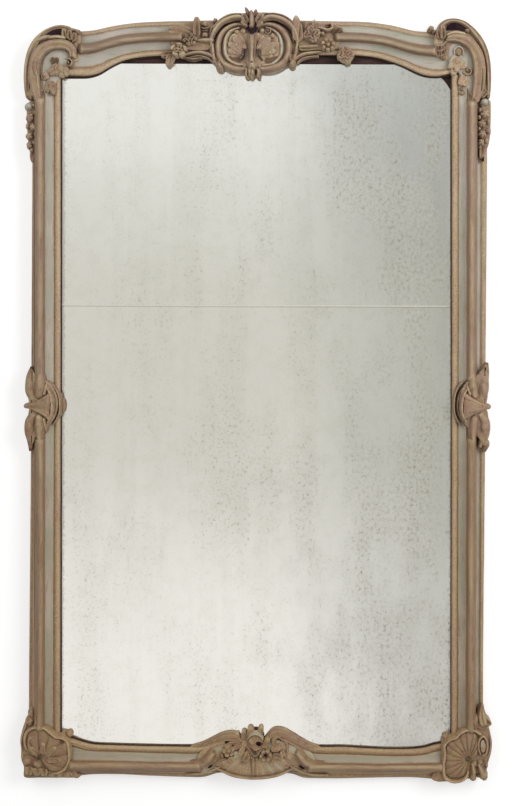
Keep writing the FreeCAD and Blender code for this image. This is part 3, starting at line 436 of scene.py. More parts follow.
def member(table, upright, spots, rebate, sunk, deep=0.0):
    """Moulded member along its spots in pixels.

    The torus is taken down where sunk(spot) runs from 0 to 1, and deep shifts its paint; on the top rail it darkens
    the torus as painted shade.
    """
    rings, tones = [], []
    marks, heights, paint = (np.array(column, float) for column in zip(*SECTION))
    for spot in spots:
        lines = line_table(table, spot)
        across = np.interp(marks, np.arange(9), lines)
        levels = heights.copy()
        fall = sunk(spot)
        narrow = 1 - eased(abs(lines[2] - lines[1]), 1.2, 4.0)
        hollow = (marks > 0.9) & (marks < 2.01)
        filled = np.interp(marks, [0.9, 1.5, 2.0], [33, 42, 60])
        levels[hollow] = levels[hollow] * (1 - narrow) + np.maximum(levels, filled)[hollow] * narrow
        shade = np.where(hollow, paint * (1 - narrow), paint)
        torus = (marks > 1.9) & (marks < 3.1)
        shade = np.where(torus, shade + deep, shade)
        levels[torus] = levels[torus] * (1 - fall) + np.minimum(levels[torus], SUNK_TORUS) * fall
        if upright:
            x, z = place(across, np.full_like(across, spot), levels / 1000)
            back = [(rebate, -GLASS_LEVEL / 1000, z[-1]), (rebate, 0.0, z[-1])]
        else:
            x, z = place(np.full_like(across, spot), across, levels / 1000)
            back = [(x[-1], -GLASS_LEVEL / 1000, rebate), (x[-1], 0.0, rebate)]
        rings.append(np.vstack([np.stack([x, -levels / 1000, z], axis=-1), back]))
        # The rebate's two back points are painted near black: painted shade.
        tones.append(np.concatenate([shade, [-0.9, -0.9]]))
    return loft(rings, np.array(tones))


def square_ends(form, axis, low, high):
    """Move a member's end rings onto flat ends, so that it keeps to its own length."""
    points, faces, paint = form
    points = points.copy()
    points[:, axis] = np.clip(points[:, axis], low, high)
    return points, faces, paint


def stile_form(side):
    """Stile whose torus goes down under the clasp and the corners."""
    table, top, bottom = (LEFT_LINES, 100, 734) if side < 0 else (RIGHT_LINES, 103, 736)

    def sunk(y):
        return max(1 - window(y, top - 7, top + 1, bottom - 6, bottom + 4), window(y, 379, 385, 434, 441))
    form = member(table, True, np.linspace(68, 790, 420), side * REBATE_SIDE, sunk, -0.06)
    return square_ends(form, 2, -1.043, 0.88)


def rail_form(table, start, stop, rebate, ends, deep=0.0):
    """Part of a rail between two pixels; ends are where its torus starts to rise, stands, leaves and is gone."""
    form = member(table, False, np.linspace(start, stop, 200), rebate, lambda x: 1 - window(x, *ends), deep)
    return square_ends(form, 0, -0.532, 0.532)


def cut_boxes(item, boxes):
    """Cut boxes out of a piece, each given by its lowest and highest corner in metres."""
    for low, high in boxes:
        mesh = bpy.data.meshes.new("cutter")
        work = bmesh.new()
        bmesh.ops.create_cube(work, size=1)
        for vertex in work.verts:
            for axis in range(3):
                vertex.co[axis] = high[axis] if vertex.co[axis] > 0 else low[axis]
        work.to_mesh(mesh)
        work.free()
        cutter = bpy.data.objects.new("cutter", mesh)
        scene.collection.objects.link(cutter)
        change = item.modifiers.new("cut", "BOOLEAN")
        change.operation, change.solver, change.object = "DIFFERENCE", "EXACT", cutter
        bpy.context.view_layer.update()
        cut = bpy.data.meshes.new_from_object(item.evaluated_get(bpy.context.evaluated_depsgraph_get()))
        item.modifiers.clear()
        item.data = cut
        bpy.data.objects.remove(cutter)


def raw_back(item, raw):
    """Bare wood on the faces that lie against the wall."""
    item.data.materials.append(raw)
    for polygon in item.data.polygons:
        if polygon.normal.y > 0.9 and polygon.center.y > -0.03:
            polygon.material_index = 1


# Carvings: what a form takes is in pixels across the frame and in millimetres above the wall.
# The basket's relief above FLAT_FROM metres is lowered to FLAT_SHARE over the glass.
FLAT_FROM, FLAT_SHARE = 0.036, 0.42


def top_left_corner():
    rim = [(27.2, 97, 2.2, 44), (26.4, 88, 3, 54), (26, 74, 3.4, 60), (27.6, 60, 3.8, 62), (31.2, 48.4, 4, 62),
        (36.8, 39.4, 3.9, 62), (44.6, 31.4, 2.6, 60), (53, 27.4, 2.2, 58), (61, 26.4, 2.4, 58),
        (68, 28.4, 3, 60)]
    inner = [(37, 99.4, 3.6, 66), (35.2, 91, 4.6, 70), (33.2, 80, 5.4, 72), (32.8, 69, 5.7, 73),
        (35, 57.4, 5.7, 73), (40.4, 48.8, 5.6, 73), (48.6, 44.4, 5.2, 72), (58, 43.2, 5, 72),
        (66.6, 44.6, 4.8, 71), (71.6, 49.2, 4.2, 70), (72.6, 54.6, 3.4, 68)]
    return [
        slab([(25, 93), (24, 74), (26.6, 54), (33.6, 39), (45, 29.4), (58, 26.2), (69, 27), (79, 31), (80, 44),
            (78, 60), (62, 62), (50, 70), (42, 94), (34, 100)], 0, 48, 0.2, 4),
        # Near-black slab: painted shade in the pierced hollow of the scroll.
        slab([(43, 36), (46, 32), (54, 29), (62, 29.2), (65, 33), (61, 36.4), (52, 37)], 20, 52, -0.8, 1),
        sweep(rim, 26, 6, section=BAND), sweep(inner, 44, 20, section=BAND),
        sweep([(37, 39.6, 2.8, 64), (44, 36.8, 3.2, 67), (49, 36, 2.6, 67)], 44, 20),
        sweep([(48, 37, 2.6, 64), (56, 36.4, 2.8, 66), (63.6, 37.2, 2.6, 66)], 44, 20, 0.35),
        # Thin dark strip: painted shade in a groove under the upper leaves.
        sweep([(40, 42.2, 0.6, 64), (52, 39.8, 0.7, 66), (64, 39.8, 0.7, 66), (73, 43.6, 0.6, 66)], 50, 40,
            -0.4),
        leaf([(34.6, 59, 1.4, 75), (34.6, 67, 2.4, 78), (36.4, 75, 1.4, 75)], 60, 0.06, 0.2),
        *many(lobe, [(64.2, 38.4, 96, 12.4, 3, 70, 0.1), (68.8, 39.4, 88, 12.2, 3, 71, 0),
            (72.6, 40.6, 78, 10.4, 3, 68, 0), (70, 40, 30, 8, 3.4, 64, 0)], base=20),
        dome(77, 31, 3.6, 3.2, 64, -20, 5, seat=30, base=8), dome(73.8, 29.6, 2.8, 2.4, 64, seat=30, base=8),
        dome(37, 98.6, 4.6, 3, 70, 12, base=20), dome(30.6, 97, 3, 2.8, 58, -10, seat=26, base=10)]


def top_left_leaf():
    return [
        slab([(43, 94), (41.6, 76), (43, 60), (49, 52), (58, 48), (66, 50.6), (69, 58), (67, 70), (60, 76),
            (53, 86)], 20, 50, 1, 4),
        lobe(54.6, 65, 112, 9.8, 3, 60, -0.45, seat=44), lobe(54.2, 64.6, 70, 8.8, 2.6, 58, -0.4, seat=44),
        dome(53.4, 60.2, 3, 3, 58, creases=3, paint=-0.5, seat=44),
        *many(lobe, [(61.4, 64.4, 252, 12.4, 6.6, 64, 0, 4, 44), (59.4, 66, 214, 14.4, 5.8, 64, 0, 4, 44),
            (61.6, 64.8, 292, 10.6, 5, 60, 0.05, 3, 42)]),
        dome(60, 68.4, 4.2, 4.6, 68, 25, paint=0.05, seat=50), lobe(48.8, 74.4, 196, 7, 4, 60, 0.1, seat=44),
        lobe(50.6, 80.6, 246, 13.4, 4, 58, -0.05, seat=44), lobe(51.8, 80.4, 276, 15.4, 3.2, 56, seat=44),
        sweep([(47, 82.4, 0.5, 57), (49.6, 88, 0.7, 58), (51.4, 95, 0.5, 55)], 50, 44, -0.3),
        *volute(68, 62.4, 4.4, 66, 44, 100, 1.1, -1, 0.34), *volute(44.6, 76.8, 4.2, 60, 44, 60, 1.1, 1, 0.34)]


def top_right_corner():
    rim = [(488.2, 97, 2, 44), (489, 88, 2.4, 54), (489, 74, 2.8, 60), (488, 61, 3, 62), (485, 48.6, 3.3, 62),
        (479.2, 37.4, 3.4, 62), (472, 28.8, 3.2, 62), (464, 22.4, 2.6, 61), (455, 19.8, 2.3, 60),
        (447, 20.8, 2.6, 61), (441.4, 25.4, 3.2, 64), (440.4, 31.2, 3, 63)]
    inner = [(476.2, 99, 4, 66), (478.4, 90, 5.6, 70), (480, 79, 6.2, 72), (480.2, 66, 6.2, 73),
        (478.2, 54.8, 6, 73), (473.2, 45.4, 5.6, 73), (465.2, 38.9, 5, 72), (456.4, 36.8, 4.2, 71),
        (449.2, 37.6, 3.2, 69)]
    return [
        slab([(490, 94), (490.8, 74), (489.8, 59), (484.8, 42.8), (476.8, 31), (466.4, 22.4), (455, 19.4),
            (445.2, 20.8), (438.6, 26), (435, 36), (435, 56), (452, 62), (464, 84), (474, 97)], 0, 48, 0.2, 4),
        # Near-black slab: painted shade in the pierced hollow of the scroll.
        slab([(446, 30), (447.4, 25.2), (454, 22.4), (461.8, 24.2), (466.6, 29.2), (461, 31.4), (453, 30.4)],
            20, 52, -0.85, 1),
        sweep(rim, 26, 6, section=BAND), sweep(inner[::-1], 44, 20, section=BAND),
        sweep([(447.4, 34.6, 2.2, 62), (452, 32.6, 2.8, 66), (458, 32, 2.8, 67), (464.4, 33.2, 2.4, 66)], 44,
            20, 0.25),
        # Thin dark strip: painted shade in the groove between the inner band and the outer rim.
        sweep([(482.4, 90, 0.5, 74), (483.2, 79, 0.7, 76), (483, 68, 0.5, 75)], 66, 60, -0.4),
        *many(lobe, [(443.8, 38.6, 94, 16.4, 3.4, 70), (440.6, 38.2, 106, 12.2, 2.8, 66),
            (438.6, 56.4, 98, 16.6, 2.6, 68), (443.2, 58, 92, 17.4, 2.8, 68)], base=20),
        sweep([(446.4, 41.4, 1.2, 64), (442.2, 44.8, 1.8, 70), (437.2, 45.2, 1.6, 66)], 40, 20),
        sweep([(446.4, 46.4, 1.2, 62), (441.8, 50.2, 1.8, 70), (436.8, 50.4, 1.4, 64)], 40, 20),
        sweep([(446, 51.4, 1.2, 60), (442.2, 55.2, 1.6, 66), (438, 55.6, 1.2, 60)], 40, 20),
        sweep([(484.4, 93.6, 1.6, 60), (485.6, 90, 1.6, 62), (488, 92, 1.4, 58)], 30, 6),
        dome(431.4, 27.4, 3.4, 3.4, 62, creases=5, seat=28, base=8),
        dome(434.6, 30.4, 2.4, 2.2, 60, seat=28, base=8), dome(443.8, 57.2, 2.4, 2.4, 64, base=20),
        dome(467.8, 29.8, 2.8, 2.4, 67, -30, base=20), dome(475.8, 98.2, 4.2, 2.8, 70, -12, base=20),
        lobe(486.8, 90.6, 232, 9.2, 2.8, 66, seat=30, base=6)]


def top_right_leaf():
    return [
        slab([(473, 92), (475, 76), (474.5, 60), (470, 49), (461, 43), (452.6, 43.5), (448.5, 49), (448, 58),
            (451, 68), (460, 74), (465, 86)], 20, 50, 1, 4),
        dome(458.8, 51.2, 3.8, 4.4, 60, 15, paint=-0.1, seat=44),
        sweep([(454.8, 54.4, 0.9, 56), (455, 48.8, 1.3, 58), (459, 46.2, 1.3, 58), (463, 49.4, 1.3, 58),
            (463.2, 54.4, 0.9, 56)], 48, 44, 0.5),
        lobe(459.4, 57, 226, 14.6, 6.6, 60, 0.42, 3, 44), lobe(459.2, 58.4, 258, 13.6, 6, 61, 0.36, 3, 44),
        lobe(461.4, 57.4, 290, 12.6, 5.2, 59, 0.42, seat=44),
        dome(457.8, 60.2, 3.8, 4.4, 63, -20, paint=0.1, seat=50),
        lobe(455, 66, 262, 9.6, 3.8, 56, 0.36, seat=44), *volute(468.4, 70.4, 4.6, 60, 44, 200, 1, 1, 0.44),
        lobe(465.4, 76.4, 236, 10.8, 4.4, 54, 0.2, seat=44), lobe(466.4, 78, 262, 9.4, 3.4, 53, 0.1, seat=44),
        dome(462.2, 92.6, 2.8, 2.2, 52, 10, 3, seat=40), dome(461.4, 88.4, 1.6, 2, 50, seat=40)]


def flower_drop(side):
    """Buds, flowers and a leaf along the outer edge of a stile."""
    def x_at(x):
        return x if side < 0 else 517.4 - x
    forms = [
        slab([(x_at(x), y) for x, y in ((26.4, 103), (33, 101), (36, 108), (36.2, 140), (35.4, 152),
            (34.6, 162), (31.4, 152), (28, 142), (26.4, 120))], 0, 48, -0.12, 4)]
    if side < 0:
        return forms + [
            *many(dome, [(27.4, 105.8, 5.2, 4.8, 64, 15, 0, 0.9, 20), (33.2, 104.8, 3, 3, 62, 0, 3, 0.3, 20),
                (28.8, 116.8, 5.4, 5.2, 66, 20, 5, 0.03, 30), (34.4, 112.4, 3.2, 3.4, 63, 0, 2, 0, 26),
                (32.4, 126.6, 4.8, 5.2, 67, 60, 5, 0, 30), (26.6, 125.6, 3, 3.6, 62, 0, 2, 0, 26),
                (35.4, 119.2, 2.6, 3, 62, 0, 0, 0, 26), (28.2, 135.2, 4.8, 4.8, 66, 5, 5, 0.03, 30),
                (34.8, 134.2, 2.8, 3.4, 63, 0, 2, 0, 26), (28.4, 144.6, 4.2, 4.4, 63, 10, 4, 0, 26),
                (33.6, 142.2, 3.4, 3.8, 63, 0, 3, 0, 26), (31.2, 149.6, 3.4, 3.4, 59, 0, 3, 0, 24)], base=16),
            lobe(33, 147, 264, 16.4, 3.2, 58, seat=24, base=16),
            dome(35.2, 152.4, 2, 2.6, 54, seat=24, base=16)]
    return forms + [
        *many(dome, [(485.2, 101, 5.2, 4.4, 64, -15, 0, 0.75, 20), (489.4, 101.4, 2.4, 3, 60, 0, 0, 0.95, 20),
            (485.6, 113, 5.4, 5.4, 66, 10, 5, 0.03, 30), (480.6, 109.4, 2.8, 3.2, 62, 0, 2, 0, 26),
            (482.8, 123.2, 5, 5, 67, 50, 5, 0, 30), (488.6, 121.4, 2.8, 3.4, 62, 0, 2, 0, 26),
            (479.8, 116.8, 2.4, 3, 61, 0, 0, 0, 26), (488.8, 130.4, 3.6, 4.2, 63, 0, 3, 0, 26),
            (483, 133, 4.8, 4.8, 66, 85, 5, 0.03, 30), (479.6, 128.4, 2.4, 3, 62, 0, 0, 0, 26),
            (482, 141.6, 4.2, 4.6, 63, -10, 4, 0, 26), (486.8, 140.2, 2.8, 3.4, 61, 0, 0, 0, 26)], base=16),
        lobe(483.4, 143, 262, 16.4, 3.2, 58, seat=24, base=16),
        dome(479.8, 147, 1.8, 2.6, 54, seat=24, base=16)]


def clasp(side):
    """Clasp over the mouldings: a trumpet body, round lobes above and below, and knobs outside and on the glass."""
    if side < 0:
        bed = [(31.4, 370), (38, 376), (45, 380), (52, 386), (56.6, 396), (57.4, 407), (54, 418), (46, 428),
            (38, 434), (31.4, 444), (27, 430), (27.6, 416), (29, 406), (27.6, 396), (28, 382)]
        body = [(27.6, 406.4, 2.6, 62), (32, 406.4, 4.2, 72), (37, 406.5, 6.6, 79), (42, 406.6, 9.8, 83),
            (46.4, 406.7, 13.2, 84), (49.6, 406.8, 15.6, 80)]
        lobes = [[(31.6, 367.4, 1, 44), (29.6, 374.6, 3.4, 58), (28.8, 383, 4.9, 68), (29, 391.4, 5.2, 72),
            (31.4, 397.4, 4.6, 68)], [(39.8, 370, 2.6, 71), (39.4, 379, 5, 76), (39, 387.4, 6.2, 79),
            (38.4, 394, 5.6, 76)], [(46.6, 382, 1.4, 64), (45.4, 388, 3, 72), (43.8, 393.6, 3, 74)],
            [(30.4, 450, 1, 44), (29.8, 441, 3.6, 60), (28.6, 431.6, 5.6, 70), (28.8, 422.6, 5.6, 73),
            (31.6, 416, 4.6, 70)], [(39.2, 443, 2.6, 71), (38.6, 434, 4.8, 76), (38.4, 425.6, 6, 79),
            (38.4, 418.6, 5.4, 76)], [(45.6, 431.4, 1.4, 64), (44.6, 425.4, 3, 71), (43.4, 419.6, 3, 74)]]
        ovals = [(29, 389, 2, 4, 75), (28.6, 426.6, 2.6, 5, 77), (39, 388.4, 2.2, 3.8, 82)]
        ridge = [(47.4, 389.4, 1.2, 74), (50.2, 396.4, 2, 81), (51.2, 405.6, 2.2, 83), (50.6, 414.4, 2, 81),
            (47.4, 422.8, 1.2, 74)]
        rim = [(49, 382, 0.9, 54), (54.4, 387.4, 1.3, 58), (58.2, 395.4, 1.5, 60), (59.4, 406, 1.6, 60),
            (58.2, 415.4, 1.4, 58), (53.4, 423.8, 0.9, 54)]
        arc = [(47.6, 385, 0.7, 62), (52.4, 390, 1.2, 64), (55.2, 397.4, 1.4, 65), (55.8, 406.4, 1.4, 65),
            (53.6, 415.6, 1.2, 64), (48, 424.6, 0.7, 62)]
        knob = (25.4, 406.3)
        forms = [dome(62.9, 405.6, 2.4, 7.4, 42, seat=30, base=27.6)]
    else:
        bed = [(485.8, 366), (478, 374), (470, 380), (464, 386), (459.6, 396), (458.8, 407), (461, 418),
            (468, 428), (477, 436), (485, 446), (489, 432), (488.4, 416), (486.6, 406), (488, 396),
            (488.4, 380)]
        body = [(487, 407.2, 2.6, 62), (482.6, 407.2, 4.2, 72), (477.6, 407.2, 6.6, 79), (472.4, 407, 9.6, 83),
            (467.6, 406.8, 12.8, 84), (464.2, 406.6, 15, 80)]
        lobes = [[(487, 363.8, 1.4, 46), (486, 371, 3.6, 58), (484.4, 380, 5.2, 68), (484, 390, 5.7, 73),
            (482.4, 397, 5, 68)], [(473.2, 371, 2.4, 71), (473.2, 380, 4.6, 76), (473.8, 388, 5.4, 79),
            (475, 395, 4.8, 75)], [(467, 383, 1.4, 64), (468.4, 388.6, 2.8, 72), (470.2, 394, 2.8, 74)],
            [(480.6, 446, 2.2, 60), (484.2, 438, 4.6, 64), (485.6, 429.6, 5.6, 71), (485, 421.4, 5.4, 73),
            (481.4, 415.8, 4.4, 70)], [(473.4, 443, 2.4, 71), (473.4, 434, 4.6, 76), (474, 426, 5, 79),
            (475, 419.4, 4.6, 76)], [(484.2, 439.4, 2.4, 56), (486.4, 442.6, 3.4, 60), (486.4, 446, 3, 57),
            (484.8, 450.6, 1.2, 46)]]
        ovals = [(483.8, 389.6, 2.6, 5.2, 77), (484.6, 427.6, 3, 4.6, 77), (473.8, 388.6, 2, 3.8, 82)]
        ridge = [(466.8, 390.4, 1.1, 74), (463.6, 396.6, 1.8, 81), (462.2, 405.2, 2, 83),
            (462.8, 413.8, 1.8, 81), (466.2, 421.8, 1.1, 74)]
        rim = [(464.8, 380.8, 0.9, 54), (459, 386.4, 1.3, 58), (455.4, 394.4, 1.5, 60), (454.2, 405, 1.6, 60),
            (455.4, 415.4, 1.4, 58), (460.6, 425.4, 0.9, 54)]
        arc = [(466.4, 385.2, 0.7, 62), (461.4, 390.2, 1.2, 64), (458.6, 397.6, 1.4, 65),
            (457.8, 406.8, 1.4, 65), (459.8, 416.4, 1.2, 64), (465.4, 425.4, 0.7, 62)]
        knob = (488.6, 407.2)
        forms = []
    forms += [
        slab(bed, 0, 64, edge=4), sweep(body, 50, 10, section=BAND, ends=(True, False)),
        *[sweep(path, 50, 6) for path in lobes],
        *[dome(x, y, rx, ry, high, paint=0.05, seat=66, base=50) for x, y, rx, ry, high in ovals],
        # The arc is painted dark: painted shade in the groove inside the rim.
        sweep(ridge, 64, 44, 0.1, lobes=5, cut=0.24, groove=0.2), sweep(rim, 44, 20), sweep(arc, 48, 44, -0.5),
        dome(knob[0], knob[1], 3.4, 2.9, 62, seat=30, base=6)]
    return forms


def left_foot():
    rim = [(28.4, 751, 1.4, 60), (25.4, 747.6, 2, 64), (24.2, 741, 2.3, 66), (25.8, 733.6, 2.4, 68),
        (31.4, 729.2, 2.3, 70), (38, 727.8, 2.3, 70), (44.6, 729.6, 2.3, 70), (50, 734, 2.3, 69),
        (55.6, 738, 2.2, 68), (61.4, 738.8, 2.2, 66), (66.2, 742, 2.3, 64), (68.2, 749, 2.5, 64),
        (68.6, 757.6, 2.5, 64), (67, 765.4, 2.5, 64), (62.2, 771.2, 2.5, 62), (54.6, 773.8, 2.4, 60),
        (48.6, 771.8, 1.8, 58)]
    return [
        slab([(29, 713.6), (33, 709), (36.6, 720), (45, 727.6), (55, 735), (65.4, 738), (71.2, 745.6),
            (71.8, 757), (71.2, 767.4), (76.4, 772.4), (77, 777.2), (66, 778.2), (40, 778), (24.2, 777.4),
            (23.6, 767), (21, 760), (20.6, 749), (20, 740), (22, 730), (25, 721)], 0, 54, -0.02, 4),
        slab([(24.6, 757), (31, 756), (40, 760.6), (48, 766.6), (60, 772.6), (70, 772), (72, 776.8),
            (40, 776.6), (25.2, 776)], 10, 57, -0.2),
        sweep(rim, 44, 14, 0.1),
        # The fan's negative valley darkens the grooves between its flutes: painted shade.
        fan((40.4, 760), [(28, 753.6), (25.8, 744.4), (26.6, 734.8), (32.4, 730), (40, 728.8), (46.8, 731.6),
            (53, 737.4), (61, 739.4), (66.4, 744), (67.4, 752.6), (67.2, 761), (63.2, 769.4), (55, 772.6),
            (48.6, 771.4)], 7, [(0, 54), (0.12, 60), (0.3, 65), (0.55, 67), (0.75, 67), (0.9, 64), (1, 58)], 50,
            0, 0.26, base=16, valley=-0.16),
        sweep([(22.6, 759.4, 1.4, 54), (21.6, 748, 2, 58), (22, 738, 2.3, 60), (24.2, 729.4, 2.4, 60),
            (26.6, 722, 2.4, 58)], 26, 6),
        *many(lobe, [(41.6, 755, 84, 12.6, 3.4, 70, 0.02), (45.4, 756.4, 40, 14.6, 3.6, 70, 0),
            (46.6, 760.8, 0, 15.4, 3.4, 70, 0.02), (36.2, 754.6, 128, 9.6, 3, 69, 0)], flutes=1, seat=50,
            base=16),
        # This dome, the next and the first dome of the row further down are painted dark: painted shade in the
        # shell's pits.
        dome(46.2, 768.4, 3.8, 1.8, 66, 25, paint=-0.5, seat=56),
        dome(61.4, 742.4, 3.2, 1.3, 66, -30, paint=-0.5, seat=56),
        sweep([(30.2, 750, 1.4, 62), (28.2, 744.6, 2.1, 66), (29.2, 739, 2.2, 68), (33.4, 737, 1.6, 68)], 50,
            20),
        *many(dome, [(38.4, 758, 4, 2.1, 67, 20, 0, -0.6, 56, None), (30.6, 714.4, 4.6, 6, 62, 10, 3, 0.05, 30,
            6), (28.8, 723, 5.8, 5.8, 66, -10, 3, 0, 30, 6), (36.2, 720.6, 4.4, 6.6, 69, 0, 2, 0, 36, 6)]),
        lobe(37.6, 731.6, 90, 13.6, 4.4, 71, seat=44, base=14),
        dome(36.4, 765.8, 5.4, 3.8, 69, -30, paint=0.03, seat=44),
        dome(26.2, 762.6, 5, 4.8, 67, 20, paint=0.05, seat=40, base=4),
        *many(lobe, [(29.4, 767.6, 258, 9.6, 5, 69, 0), (36.6, 768.4, 268, 9.2, 4.8, 69, 0.03),
            (42.6, 768.6, 282, 9.2, 4.6, 68, 0)], seat=44, base=4),
        *many(dome, [(51.2, 775.2, 5, 3.8, 63, 0, 3, 0, 40, 4), (58.8, 776, 5, 3, 62, 0, 2, 0.05, 38, 4),
            (66.6, 775.6, 4.8, 3.2, 61, 0, 3, 0, 38, 4), (68.4, 735, 4, 3.6, 46, 20, 2, 0.2, 30, 27.6),
            (64.8, 739, 3.2, 2.6, 52, 0, 0, 0, 30, 27.6)]),
        sweep([(65, 742.2, 2, 53), (71, 742.8, 2.5, 51), (80, 745.6, 2.3, 47), (90, 748.4, 1.8, 44),
            (99, 749.8, 1.2, 42)], 36, 27.6, 0.15, BAND),
        lobe(67.6, 767.4, 312, 10.4, 3.4, 57, base=4), dome(75.6, 776.6, 4.6, 4, 56, seat=20, base=4)]


def right_foot():
    rim = [(468.4, 772.6, 1.8, 60), (465.4, 778.8, 2.4, 64), (459.2, 782, 2.5, 64), (451.6, 782, 2.5, 64),
        (445.2, 777.6, 2.5, 66), (443.8, 766, 2.5, 66), (445.2, 755.4, 2.4, 66), (444.6, 747, 2.3, 66),
        (449.4, 741.2, 2.2, 68), (456.4, 738.4, 2.2, 69), (460.6, 734.2, 2.2, 70), (466.2, 731.4, 2.2, 71),
        (474, 731.2, 2.1, 70), (480.6, 734.8, 1.9, 68)]
    return [
        slab([(484, 710), (480.2, 709), (475.6, 721), (468.6, 728.4), (458, 734.6), (447.4, 738.8),
            (441.8, 746), (441.4, 757), (440.4, 768), (433.6, 773.4), (432.4, 779.6), (438, 782.2), (446, 782),
            (456, 782.8), (464.6, 781.4), (468.4, 776), (477, 774.4), (486, 773), (487.4, 766), (491, 754),
            (492.2, 744), (490.8, 734), (488, 724)], 0, 54, -0.02, 4),
        sweep(rim, 44, 14, 0.1),
        # The fan's negative valley darkens the grooves between its flutes: painted shade.
        fan((468.8, 760.4), [(478, 754.6), (478.6, 743.6), (475.8, 734.6), (467.4, 732.6), (461.2, 735.6),
            (456.4, 740), (449.4, 743), (446.4, 753.4), (445.2, 764), (446.6, 775), (453.4, 779.4), (463, 778)],
            13, [(0, 56), (0.12, 62), (0.3, 66), (0.55, 69), (0.75, 69), (0.9, 65), (1, 59)], 50, 0.02, 0.17,
            base=16, valley=-0.08),
        # Dark dome at the hinge: painted shade in the shell's pit.
        dome(468.8, 760, 3.4, 2.2, 69, -20, paint=-0.6, seat=56),
        sweep([(480.4, 754.8, 1.6, 62), (478.6, 748.4, 1.8, 66), (479.6, 740.8, 1.9, 67), (483.2, 737, 1.9, 67),
            (486.6, 740.2, 1.9, 66), (487.6, 747.4, 1.8, 65), (486, 754, 1.8, 63), (482.6, 756.2, 1.6, 60)], 44,
            6),
        slab([(480.6, 742), (483, 739.6), (485.4, 742), (486, 749), (483.4, 753), (481, 750.4)], 6, 60, 0.6, 2),
        sweep([(488.6, 729.6, 1.4, 54), (490.2, 738, 1.8, 58), (490.4, 747, 1.8, 58), (488.2, 756, 1.8, 56),
            (484.4, 761, 1.6, 56)], 26, 6),
        sweep([(482.4, 705.4, 1.6, 52), (481.8, 711.6, 3.6, 58), (482.2, 718, 5.4, 63),
            (483.4, 723.4, 5.6, 63)], base=6, section=LEAF, lobes=1, cut=0.05, groove=0.1),
        lobe(485.6, 721, 320, 8.6, 3, 61, base=6), dome(475.8, 722, 4.2, 6.6, 68, creases=2, seat=36, base=6),
        lobe(482, 729.4, 26, 8.6, 3.4, 60, base=6), lobe(473.6, 733, 98, 16, 4.4, 70, seat=40, base=14),
        dome(474.4, 765.2, 4.6, 3.6, 66, 30, 2, seat=44),
        dome(480.4, 763.2, 3.8, 3.2, 64, -20, 2, seat=44, base=6),
        dome(485.2, 760.6, 3.2, 3, 60, -20, 2, seat=30, base=6),
        sweep([(473, 765, 2.6, 66), (474, 771.4, 3.4, 68), (473.8, 776, 3.2, 66)], 40, 4),
        sweep([(479, 765.4, 2.4, 66), (481.6, 771, 3.6, 68), (482.8, 775, 3.6, 66)], 40, 4),
        # The dome painted darker among these, between the toes, is painted shade in the gap.
        *many(dome, [(473.6, 778.6, 4, 4.6, 67, 0, 0, 0.03, 40, 4), (484.2, 777.6, 5, 5.6, 67, 0, 3, 0, 40, 4),
            (486.6, 766.6, 2.8, 3.6, 62, 0, 2, 0, 30, 4), (478.8, 776.8, 2.2, 2.8, 60, 0, 0, -0.3, 30, 4),
            (467.6, 777.2, 3.2, 3, 64, 0, 2, 0, 30, 4), (445.8, 737.4, 3.6, 2.7, 46, 10, 2, 0.2, 30, 27.6),
            (450.2, 740.8, 2.8, 2.4, 52, 0, 0, 0, 30, 27.6)]),
        sweep([(449, 745.6, 2, 47), (442.6, 746.4, 2.2, 45), (433, 748.6, 1.9, 43), (424, 750.2, 1.3, 41)], 36,
            27.6, 0.15, BAND),
        lobe(446, 769.4, 232, 12, 3.4, 57, base=4), dome(436, 779.4, 4.8, 4, 56, seat=20, base=4)]


def flatter(forms):
    """Lower the basket's forms towards the glass, each point along its own line of sight.

    It is strongest over the glass, where the mirror would show high relief once more above it.
    """
    result = []
    for points, faces, paint in forms:
        points = np.array(points, float)
        height = -points[:, 1]
        row = MIDDLE_PIXEL[1] - points[:, 2] / PIXEL
        share = FLAT_SHARE + (1 - FLAT_SHARE) * eased(row, 740, 753)
        low = np.where(height > FLAT_FROM, FLAT_FROM + (height - FLAT_FROM) * share, height)
        scale = (CAMERA_REACH - low) / (CAMERA_REACH - height)
        points = np.stack([CAMERA_X + (points[:, 0] - CAMERA_X) * scale, -low,
                           CAMERA_Z + (points[:, 2] - CAMERA_Z) * scale], axis=-1)
        result.append((points, faces, paint))
    return result


